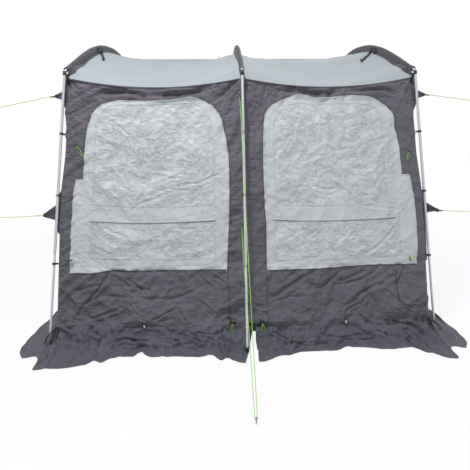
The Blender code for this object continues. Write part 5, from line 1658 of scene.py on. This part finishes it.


# Rear pads and guy tabs
def make_pad(word):
    """A padded post at the rear: nearly square all round, pinched at both ends."""
    low, high = [np.array(c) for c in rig.box(f"rear_pad_{word}")]
    size, middle = high - low, (high + low) / 2
    rings, around = 90, 28
    points = []
    for i in range(rings + 1):
        v = i / rings
        pinch = min(1.0, 0.55 + 0.45 * math.sin(math.pi * min(v, 1 - v, 0.02) / 0.04))
        for k in range(around):
            turn = 2 * math.pi * k / around
            c, s = math.cos(turn), math.sin(turn)
            x = math.copysign(abs(c) ** 0.45, c) * size[0] / 2 * pinch * 0.98
            y = math.copysign(abs(s) ** 0.6, s) * size[1] / 2 * pinch * 0.98
            wave = 1 + 0.03 * float(WAVES.wave(np.array(turn + 3.0), np.array(v * 30.0)))
            points.append((middle[0] + x, middle[1] + y * wave, low[2] + size[2] * v))
    low_cap, high_cap = end_faces(rings + 1, around)
    faces = [low_cap, *ring_faces(rings + 1, around), high_cap]
    made = piece(f"pad_{word}", points, faces, PAD, replaces=[f"rear_pad_{word}"])
    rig.padded(made, fill=0.8)


# Each tab's lower and upper edge on the wall, its tip's height, and how far it reaches out
TABS = {"upper": (0.9084, 0.9588, 0.9301), "lower": (0.4542, 0.5279, 0.4770)}
TAB_REACH = {"upper": 0.094, "lower": 0.120}


def make_tab(word, side, level):
    """The triangle of webbing from the wall's edge to the eyelet of a side rope."""
    low_z, high_z, tip_z = [CORNER_TOP_Z * share for share in TABS[level]]
    reach = TAB_REACH[level]
    q, w, faces = grid(np.linspace(0, 1, 25), np.linspace(0, 1, 13))
    low = low_z + (tip_z - 0.008 - low_z) * q
    high = high_z + (tip_z + 0.008 - high_z) * q
    z = low + (high - low) * w
    v = (z - HEM_Z) / (CORNER_TOP_Z - HEM_Z)
    p = flat_wall(side * WALL_A + 0 * z, v * WALL_B)
    p[..., 0] += side * q * reach
    p[..., 1] -= 0.0015 + 0.004 * np.sin(w * math.pi * 3 + q) * (1 - q) * np.clip(q * 5, 0, 1)
    if (level, word) == ("lower", "right"):  # this one passes behind its leg
        p[..., 1] += 0.066 * np.sin(math.pi * q) ** 0.6
    made = piece(f"tab_{level}_{word}", p, faces, TRIM, uv=stack(q * reach, z),
                 replaces=[f"guy_tab_{level}_{word}"])
    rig.sheet(made, flat=(reach, high_z - low_z), held="stretched",
             area=float(reach * (high_z - low_z) * 0.62))


for word, side in SIDES.items():
    make_pad(word)
    for level in TABS:
        make_tab(word, side, level)


# Seams, bindings and zips: narrow strips that lie on the front cloth
def on_front(line, width, height, look, name, body="root", lift=0.0, closed=False):
    """A strip of cloth along a line on the front, standing a little proud of it."""
    spots = dense([tuple(p) for p in line], 0.006, closed)
    line = np.array(spots + (spots[:1] if closed else []))
    across = left_of(units(np.gradient(line, axis=0)))
    shares, heights = np.array([-0.5, -0.36, 0, 0.36, 0.5]), np.array([-0.15, 0.9, 1.0, 0.9, -0.15])
    spread = line[:, None] + across[:, None] * (shares * width)[None, :, None]
    a, b = spread[..., 0], spread[..., 1]
    points = wall_point(np.clip(a, -WALL_A, WALL_A), np.clip(b, 0, WALL_B),
                        lift + heights * height * (1 + 0.35 * WAVES.wave(a * 90, b * 90)))
    n = len(shares)
    faces = [(i * n + j, (i + 1) * n + j, (i + 1) * n + j + 1, i * n + j + 1)
             for i in range(len(line) - 1) for j in range(n - 1)]
    piece(name, points, faces, look, body, uv=spread)


def stitches(lines, name, look, body):
    """Rows of separate stitches along lines on the front."""
    pitch, length, width, height = 0.0075, 0.0048, 0.0009, 0.0010
    marks, ways = [], []
    for line in lines:
        line = np.array(line, float)
        far = far_along(line)
        at = np.arange(pitch, far[-1] - pitch, pitch)
        marks.append(read(line, far, at))
        ways.append(units(read(line, far, at + 0.002) - read(line, far, at - 0.002)))
    spots, ahead = np.vstack(marks), np.vstack(ways)
    across = left_of(ahead)
    corners, lifts = [], []
    for along, aside, lift in ((-0.5, 0, 0.2), (-0.25, 0.5, 0.6), (0.25, 0.5, 0.6), (0.5, 0, 0.2),
                               (0.25, -0.5, 0.6), (-0.25, -0.5, 0.6), (0, 0, 1.0)):
        corners.append(spots + ahead * along * length + across * aside * width)
        lifts.append(lift * height)
    a, b = [np.stack([c[:, k] for c in corners], 1) for k in (0, 1)]
    points = wall_point(np.clip(a, -WALL_A, WALL_A), np.clip(b, 0, WALL_B), 0.0014 + np.array(lifts))
    faces = [(7 * i + j, 7 * i + (j + 1) % 6, 7 * i + 6) for i in range(len(spots)) for j in range(6)]
    piece(name, points, faces, look, body)


def inset(loop, by):
    """A closed loop moved by the given distance towards its own middle."""
    points = np.array(loop, float)
    ahead = units(np.roll(points, -1, 0) - np.roll(points, 1, 0))
    area = (points[:, 0] * np.roll(points[:, 1], -1) - points[:, 1] * np.roll(points[:, 0], -1)).sum()
    return points + left_of(ahead) * math.copysign(1, area) * by


def make_seams(word, side):
    """The bindings, zip, seams and stitches of one half of the front."""
    body = f"door_{word}"
    rows = []
    for level in ("upper", "lower"):
        loop = dense(mirrored(WINDOWS[level, word], side), 0.02)
        name = f"window_binding_{level}_{word}"
        on_front(inset(loop, -0.003), 0.012, 0.0016, BINDING, name, body, closed=True)
        rows += [inset(loop, by).tolist() for by in (-0.007, 0.002)]
    edge = mirrored([p for p in DOOR_EDGE[word] if p[1] > 0.37], side)
    on_front(edge, 0.011, 0.0018, BINDING, f"door_binding_{word}", body)
    skirt = mirrored(SKIRT_EDGE[word], side)
    on_front([(a, b - 0.004) for a, b in skirt], 0.010, 0.0016, TRIM, f"skirt_seam_{word}", body)
    rows.append([(a, b - 0.012) for a, b in skirt])
    stitches(rows[:-1], f"window_stitches_{word}", PALE_THREAD, body)
    stitches(rows[-1:], f"skirt_stitches_{word}", THREAD, body)
    # the lap of cloth over the top of the lower window, with its shadow line: a dark strip of the zip's material,
    # painted shadow below the lap
    lap = [(side * x, 0.7375) for x in np.linspace(0.20, 1.085, 60)]
    on_front(lap, 0.012, 0.0052, DOOR, f"window_lap_{word}", body, lift=0.0008)
    on_front([(a, b - 0.0085) for a, b in lap], 0.0035, 0.0020, ZIP_AND_SHADOW, f"window_lap_shadow_{word}", body)
    # the zip on the surround, just outside the door's edge
    top_end = next(k for k, spot in enumerate(DOOR_EDGE[word]) if spot[0] < 1.15 and spot[1] > 1.05)
    outline = np.array(dense(mirrored(DOOR_EDGE[word][top_end:], side), 0.02, False))
    loop = inset(outline, -0.0085)[2:-2]
    on_front(loop, 0.010, 0.0017, ZIP_AND_SHADOW, f"zip_coil_{word}", "root")
    stitches([inset(outline, -0.017)[3:-3].tolist()], f"zip_stitches_{word}", THREAD, "root")
    # the seam where the front meets the roof, and the seam of the strip at the outer edge
    across = np.linspace(0.03, WALL_A - 0.004, 100)
    top = [(side * a, WALL_B - 0.008) for a in across]
    on_front(top, 0.015, 0.0030, TRIM, f"top_seam_{word}")
    stitches([[(a, b - 0.012) for a, b in top]], f"top_stitches_{word}", THREAD, "root")
    from_edge = 0.052 if word == "left" else 0.036
    down = [(side * (WALL_A - from_edge), b) for b in np.linspace(0.02, WALL_B - 0.03, 90)]
    on_front(down, 0.008, 0.0014, WALL, f"edge_seam_{word}")
    if word == "right":  # the edge of a pocket low on the right
        pocket = smooth([(1.060, 0.36), (1.060, 0.24), (1.070, 0.14), (1.095, 0.090), (1.16, 0.078),
                         (1.232, 0.073)], 60)
        on_front(pocket, 0.010, 0.0034, TRIM, "pocket_seam")


for word, side in SIDES.items():
    make_seams(word, side)


def flap_at(a, t, out):
    """A point that stands out of the front flaps: a across, t from the hem to the edge on the ground."""
    rows = np.array(FLAP_POINTS.shape[:2]) - 1
    x, y = np.clip((a + WALL_A) / (2 * WALL_A), 0, 1) * rows[0], np.clip(t, 0, 1) * rows[1]
    i, j = np.minimum(x.astype(int), rows[0] - 1), np.minimum(y.astype(int), rows[1] - 1)
    fx, fy = (x - i)[..., None], (y - j)[..., None]
    p00, p10, p01, p11 = [FLAP_POINTS[i + k, j + m] for k, m in ((0, 0), (1, 0), (0, 1), (1, 1))]
    at = (p00 * (1 - fx) + p10 * fx) * (1 - fy) + (p01 * (1 - fx) + p11 * fx) * fy
    way = np.cross(p10 - p00, p01 - p00)
    size = np.maximum(np.linalg.norm(way, axis=-1, keepdims=True), 1e-9)
    way *= np.sign(way[..., 2:] - way[..., 1:2] + 1e-9) / size
    return at + way * np.asarray(out)[..., None]


def make_hem_seam(word, side):
    """The seam across the front, where wall cloth and ground sheeting are sewn together."""
    start = SLIT_A + side * 0.02
    a, k, faces = grid(np.linspace(start, side * (WALL_A - 0.004), 240), np.linspace(-1, 1, 5))
    points = flap_at(a, 0.085 + k * 0.009, 0.0020 - 0.0024 * k ** 4)
    piece(f"hem_seam_{word}", points, faces, SHEETING, uv=stack(a, k * 0.004))


for word, side in SIDES.items():
    make_hem_seam(word, side)
a, t, faces = grid(np.linspace(0.950, 1.062, 24), np.linspace(0.0, 0.145, 12))
rim = np.maximum(abs(a - 1.006) / 0.056, abs(t - 0.0725) / 0.0725)
piece("sewn_patch", flap_at(a, t, 0.0022 - 0.0026 * (rim > 0.97)), faces, TRIM)


# Small fittings
def strap(name, line, width, look, flat_way, thickness=0.0016):
    """A flat woven strap along a line; flat_way is the direction out of its broad face."""
    line = smooth(line, max(12, int(80 * length_of(line))))
    ahead = units(np.gradient(line, axis=0))
    across = units(np.cross(ahead, np.asarray(flat_way, float)))
    out = np.cross(across, ahead)
    outline = [(-0.5, 0.1), (-0.46, 0.5), (0, 0.5), (0.46, 0.5), (0.5, 0.1),
               (0.5, -0.1), (0.46, -0.5), (0, -0.5), (-0.46, -0.5), (-0.5, -0.1)]
    points = np.stack([line + across * u * width + out * v * thickness for u, v in outline], 1)
    faces = ring_faces(len(line), len(outline)) + end_faces(len(line), len(outline))
    piece(name, points, faces, look)


def ring(centre, radius, thick, way):
    """A closed ring whose axis is way."""
    return tube(loop_line(centre, radius, way, 28), thick, caps=False)


def wall_spot(a, b, out):
    """One point that stands out of the front."""
    return wall_point(np.array(a), np.array(b), out)


def elastic(name, start, end, drop):
    """A loop of lime elastic from start to end and back."""
    radius, width = 0.0016, 0.009
    start, end = np.asarray(start, float), np.asarray(end, float)
    way = unit(end - start)
    aside = unit(np.cross(way, [0, -1.0, 0.2]))
    middle = (start + end) / 2 + [0, -drop, 0]
    route = [start + aside * 0.002, middle + aside * width, end + aside * width * 0.5, end + way * 0.006,
             end - aside * width * 0.5, middle - aside * width, start - aside * 0.002]
    line = smooth(route, 36)
    points, faces, uv = twisted(line, radius, 0.003)
    made = piece(name, points, faces, LIME, uv=uv)
    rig.cord(made, exit=tuple(line[0]), length=length_of(line), diameter=2 * radius, far_end="object",
            stiffness="limp", lay="hanging", path=[tuple(p) for p in line])


def make_knuckle(word):
    """A black collar on top of the leg and the bright elbow that leads into the sleeve."""
    ends = ((LEG_TOP[word], LEG_TOP_Z), (FOOT[word], 0.0))
    top, foot = [np.array([x, y - MIDDLE_Y, z]) for (x, y), z in ends]
    down = unit(foot - top)
    x = HOOPS[word]
    lead = np.array([[x, y, z] for y, z in HOOP_LINE[:4]])
    waist = np.array([0.80, 0.95, 1, 1, 0.94, 0.94, 1, 1, 0.94, 0.94, 1, 0.88])
    collar = tube(top + down * np.linspace(-0.013, 0.016, len(waist))[:, None], 0.0128 * waist, 16)
    ahead = unit(lead[3] - lead[0])
    bend = smooth([top + down * 0.004, top - down * 0.010, top - down * 0.012 + ahead * 0.012,
                   lead[0] + ahead * 0.030, lead[0] + ahead * 0.046], 20)
    steps = np.linspace(0, 1, 21)
    elbow = tube(bend, 0.0088 * np.where(steps > 0.92, 1.06, np.where(steps > 0.86, 0.93, 1.0)), 14)
    piece(f"knuckle_collar_{word}", *collar[:2], PLASTIC, replaces=[f"leg_knuckle_{word}"])
    piece(f"knuckle_elbow_{word}", *elbow[:2], STUB, replaces=[f"leg_knuckle_{word}"])
    side = SIDES.get(word, 0)
    high_y, low_y, low_x = (-0.5725, -0.56, side * 1.232) if side else (-0.62, -0.57, 0.003)
    start = np.array([x - side * 0.012, high_y, 1.868])
    end = np.array([low_x, low_y, 1.800])
    middle = start * 0.55 + end * 0.45 + [0, -0.004, 0.004]
    strap(f"corner_strap_{word}", [start, middle, end], 0.022, WEBBING, (0, -1, 0.2))
    hook = ring(start * 0.5 + end * 0.5 + [0, -0.006, 0.002], 0.010, 0.0028, (0, -1, 0.2))
    piece(f"corner_hook_{word}", *hook[:2], PLASTIC)


STUB = moulded("bright_ferrule", "leg_steel", tone(168, 172, 172), roughness=0.35)
for word in HOOPS:
    make_knuckle(word)


def roof_top(x, y):
    """A point on the roof panels at the given place."""
    side = 1 if x > 0 else -1
    inner, outer = SLEEVE_EDGE, HOOP_X - SLEEVE_EDGE
    t = np.interp(y, HOOP_LINE[:, 0], HOOP_SPOTS)
    return roof_smooth(side, np.array((abs(x) - inner) / (outer - inner)), np.array(float(t)))


def make_hoop_strap(word, side, patch, high, low):
    """The strap over the roof that hooks on to the hoop."""
    places = [(high[0] + (low[0] - high[0]) * k, high[1] + (low[1] - high[1]) * k)
              for k in np.linspace(0.0, 1, 5)[1:]]
    spots = [roof_top(*place) + [0, -0.003, 0.008] for place in places]
    strap(f"hoop_strap_{word}", [np.array(high), *spots], 0.021, WEBBING, (0, -0.6, 0.8))
    way = unit(spots[-1] - spots[-2])
    hook = merged(ring(spots[-1] + way * 0.014, 0.016, 0.0048, (side, -0.6, 0.5)),
                  runner(spots[-1] - way * 0.012, way, 0.036, 0.012))
    piece(f"hoop_hook_{word}", *hook, PLASTIC)
    one = np.array(patch) + [-side * 0.012, -0.004, -0.002]
    strap(f"hoop_patch_{word}", [one + [0, -0.028, -0.026], one, one + [0, 0.028, 0.022]], 0.030, WEBBING,
          (-side, -0.5, 0.5), thickness=0.003)


make_hoop_strap("left", -1, (-1.238, 0.211, 2.222), (-1.240, 0.310, 2.262), (-1.156, 0.063, 2.135))
make_hoop_strap("right", 1, (1.238, 0.185, 2.205), (1.240, 0.280, 2.250), (1.090, 0.100, 2.125))
nub = roof_top(-0.172, 0.42)
piece("roof_toggle", *runner(nub + [0, 0, 0.012], (0, 0.2, 1.0), 0.034, 0.0075)[:2], PALE_TAPE)


TIEBACKS = {  # the two ends of each loop on the front
    "upper_left": ((-1.203, 1.269), (-1.160, 1.205)),
    "lower_left": ((-1.200, 0.452), (-1.196, 0.405)),
    "upper_right": ((1.222, 1.200), (1.205, 1.150)),
    "lower_right": ((1.170, 0.425), (1.214, 0.436)),
}


def make_tieback(name, start, end):
    """The loop of lime elastic and black toggle that hold a rolled door."""
    one, two = wall_spot(*start, 0.010), wall_spot(*end, 0.010)
    elastic(name + "_loop", one, two, 0.006)
    across = np.cross(two - one, [0, -1.0, 0.2])
    piece(name + "_toggle", *runner(one + [0, -0.004, 0], across, 0.030, 0.0065)[:2], PLASTIC)


for place, (start, end) in TIEBACKS.items():
    make_tieback(f"tieback_{place}", start, end)


def make_pegging(name, a):
    """A ring at the hem with its loop of lime elastic."""
    place = wall_spot(a, 0.010, 0.014)
    line = [place + [x, y, 0.010] for x, y in ((-0.022, 0), (0, -0.002), (0.022, 0))]
    strap(name + "_webbing", line, 0.020, WEBBING, (0, -1, 0.1), thickness=0.003)
    piece(name + "_ring", *ring(place + [0, -0.006, -0.010], 0.012, 0.0022, (0, -1, 0.25))[:2], PLASTIC)
    elastic(name + "_elastic", place + [-0.006, -0.009, 0.004], place + [0.012, -0.012, -0.075], 0.008)


def make_eyelet(word, side):
    """An eyelet at the hem with the end of its white tape."""
    place = wall_spot(side * 0.680, 0.016, 0.006)
    plate = block(place + [0, 0.002, 0.014], (0.022, 0.003, 0.012))
    piece(f"pegging_eyelet_{word}", *merged(ring(place, 0.009, 0.0024, (0, -1, 0.2)), plate), PLASTIC)
    tail = place + [0.002, -0.006, -0.014]
    line = [tail + [0, 0, 0.008], tail, tail + [0.003, -0.002, -0.010]]
    strap(f"pegging_tape_{word}", line, 0.009, PALE_TAPE, (0, -1, 0.3))


make_pegging("pegging_centre_left", -0.088)
make_pegging("pegging_centre_right", 0.112)
for word, side in SIDES.items():
    make_eyelet(word, side)


def make_gusset():
    """Black webbing across the hem between the two front flaps."""
    k, v, faces = grid(np.linspace(0, 1, 41), np.linspace(0, 1, 15))
    left, right = 0.000 + 0.038 * v ** 1.5, 0.108 - 0.034 * v ** 1.5
    x = left + (right - left) * k
    fold = 0.0030 * np.sin(k * 19) * (0.4 + v) + 0.002 * WAVES.wave(k * 9, v * 5)
    points = stack(x, -0.9440 - 0.010 * v - fold, 0.142 - 0.052 * v)
    made = piece("hem_gusset", points, faces, WEBBING)
    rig.sheet(made, flat=(0.115, 0.06), held="stretched", area=min(area_of(points), 0.0069))


make_gusset()


def make_foot_strap(word, side):
    """The doubled strap that holds the wall's corner to the foot of the leg."""
    foot = np.array([FOOT[word][0], FOOT[word][1] - MIDDLE_Y, 0.0])
    corner = np.array([side * (CORNER_LOW_X - 0.012), CORNER_LOW_Y - MIDDLE_Y - 0.022, 0.118])
    near = foot + [-side * 0.006, -0.075, 0.016]
    for k, aside in enumerate((-0.012, 0.014)):
        middle = (corner + near) / 2 + [aside * 1.6, -0.030, 0.012]
        strap(f"foot_strap_{word}_{'ab'[k]}",
              [corner + [aside * 0.4, 0, 0], middle, near + [aside, -0.004 * k, 0]], 0.013, WEBBING,
              (side * 0.2, -0.8, 0.6))
    loop = [near + [-0.014, 0, 0.002], near + [0, -0.014, 0], near + [0.016, 0, 0.002]]
    lead = [near, (near + foot) / 2 + [0, 0, 0.006], foot + [0, -0.014, 0.016]]
    strap(f"foot_loop_{word}", loop, 0.013, WEBBING, (0, -0.4, 0.9))
    strap(f"foot_lead_{word}", lead, 0.013, WEBBING, (0, -0.4, 0.9))


for word, side in SIDES.items():
    make_foot_strap(word, side)


def make_selvage(name, side, low, high, wide, ends, back):
    """The edge of the front cloth where it reaches behind the leg."""
    k, b, faces = grid(np.linspace(0, 1, 8), np.linspace(low, high, 40))
    edge = wall_point(side * WALL_A + 0 * b, b)
    width = wide * smoothed((b - low) / ends[0]) * smoothed((high - b) / ends[1])
    edge[..., 0] += side * k * width
    edge[..., 1] += 0.002 + back * np.sqrt(k) + 0.002 * WAVES.wave(b * 22, k * 2 + side)
    made = piece(name, edge, faces, WALL, uv=stack(side * (WALL_A + k * 0.03), b))
    flat = (math.hypot(wide, back) * 1.05, high - low)
    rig.sheet(made, flat=flat, held="stretched", area=cut_area(edge, flat, 0.32))


for word, side in SIDES.items():
    make_selvage(f"edge_selvage_upper_{word}", side, 1.47, WALL_B - 0.002, 0.030, (0.09, 0.001), 0.004)
    low, wide, back = (0.62, 0.022, 0.004) if side < 0 else (0.36, 0.040, 0.058)
    make_selvage(f"edge_selvage_lower_{word}", side, low, 0.95, wide, (0.03, 0.06), back)


def make_tip(word, level):
    """The eyelet at the tip of a guy tab."""
    start = np.array(SIDE_ROPES[level, word][0])
    shape = ring(start + [0, -0.001, 0], 0.0085, 0.0032, (0, -1, 0.0))
    piece(f"tab_eyelet_{level}_{word}", *shape[:2], PLASTIC)


for word in SIDES:
    for level in TABS:
        make_tip(word, level)


def dress(name, look):
    """Gives one of these materials to a node of the part that is seen as it is."""
    node = frame["nodes"][name]
    node.data.materials.clear()
    node.data.materials.append(look.material)


for word in HOOPS:
    dress(f"hoop_rod_{word}", FIBRE)
    dress(f"leg_upper_{word}", STEEL)
    dress(f"leg_lower_{word}", BRIGHT)
    dress(f"leg_foot_{word}", RUBBER)
    for level in CLIP_LEVELS:
        dress(f"pole_clip_{word}_{level}", PLASTIC)
for word in SIDES:
    dress(f"zip_slider_{word}", PLASTIC)
dress("rail_strip", VINYL)
dress("ground_peg", PEG)


# Floor and light
def seen_rays(nodes, links):
    """1 for what the camera sees, straight or in a gloss or through something clear."""
    path = nodes.new("ShaderNodeLightPath")
    rays = path.outputs["Is Camera Ray"]
    for kind in ("Is Glossy Ray", "Is Transmission Ray"):
        more = nodes.new("ShaderNodeMath")
        more.operation = "MAXIMUM"
        links.new(rays, more.inputs[0])
        links.new(path.outputs[kind], more.inputs[1])
        rays = more.outputs[0]
    return rays


def make_stage():
    """A pale floor that turns as white as the background further out."""
    mesh = bpy.data.meshes.new("floor")
    mesh.from_pydata([(-30, -30, 0), (30, -30, 0), (30, 30, 0), (-30, 30, 0)], [], [(0, 1, 2, 3)])
    floor = bpy.data.objects.new("floor", mesh)
    bpy.context.scene.collection.objects.link(floor)
    look = bpy.data.materials.new("floor_white")
    look.use_nodes = True
    nodes, links = look.node_tree.nodes, look.node_tree.links
    shader = next(n for n in nodes if n.type == "BSDF_PRINCIPLED")
    shader.inputs["Base Color"].default_value = (0.9, 0.9, 0.9, 1)
    shader.inputs["Roughness"].default_value = 0.95
    white, mix, place, far, fade, share = [nodes.new("ShaderNode" + kind) for kind in (
        "Emission", "MixShader", "TexCoord", "VectorMath", "MapRange", "Math")]
    far.operation, share.operation = "LENGTH", "MULTIPLY"
    links.new(place.outputs["Object"], far.inputs[0])
    links.new(far.outputs["Value"], fade.inputs["Value"])
    for socket, value in (("From Min", 2.2), ("From Max", 7.0), ("To Min", 0.89), ("To Max", 1.0)):
        fade.inputs[socket].default_value = value
    links.new(seen_rays(nodes, links), share.inputs[0])
    links.new(fade.outputs["Result"], share.inputs[1])
    links.new(share.outputs[0], mix.inputs[0])
    links.new(shader.outputs[0], mix.inputs[1])
    links.new(white.outputs[0], mix.inputs[2])
    output = next(n for n in nodes if n.type == "OUTPUT_MATERIAL")
    links.new(mix.outputs[0], output.inputs["Surface"])
    mesh.materials.append(look)
    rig.stage(floor)


def make_light():
    """A dim room with three lamps, in front of a white background."""
    world = bpy.data.worlds.new("studio")
    bpy.context.scene.world = world
    world.use_nodes = True
    nodes, links = world.node_tree.nodes, world.node_tree.links
    nodes.clear()
    plain, white = nodes.new("ShaderNodeBackground"), nodes.new("ShaderNodeBackground")
    plain.inputs["Color"].default_value = (0.95, 0.97, 1.0, 1)
    plain.inputs["Strength"].default_value = 0.30
    white.inputs["Color"].default_value = (1, 1, 1, 1)
    white.inputs["Strength"].default_value = 1.0
    mix, out = nodes.new("ShaderNodeMixShader"), nodes.new("ShaderNodeOutputWorld")
    links.new(seen_rays(nodes, links), mix.inputs[0])
    links.new(plain.outputs[0], mix.inputs[1])
    links.new(white.outputs[0], mix.inputs[2])
    links.new(mix.outputs[0], out.inputs["Surface"])
    for name, place, target, size, power in (
        ("key", (-1.3, -2.6, 5.6), (0.1, -0.5, 0.9), 1.0, 235),
        ("fill", (3.4, -3.4, 1.6), (0, -0.3, 1.0), 3.0, 25),
        ("rear", (1.5, 3.6, 4.0), (0, 0.4, 1.2), 3.0, 60),
    ):
        data = bpy.data.lights.new(name, "AREA")
        data.size, data.energy = size, power
        lamp = bpy.data.objects.new(name, data)
        bpy.context.scene.collection.objects.link(lamp)
        lamp.location = place
        lamp.rotation_euler = (Vector(target) - Vector(place)).to_track_quat("-Z", "Y").to_euler()


make_stage()
make_light()
view = bpy.context.scene.view_settings
view.view_transform = "Standard"

with open("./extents.json", "w") as file:
    json.dump({"cad": CAD_BOX, "visual": [list(corner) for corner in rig.bounds()]}, file)
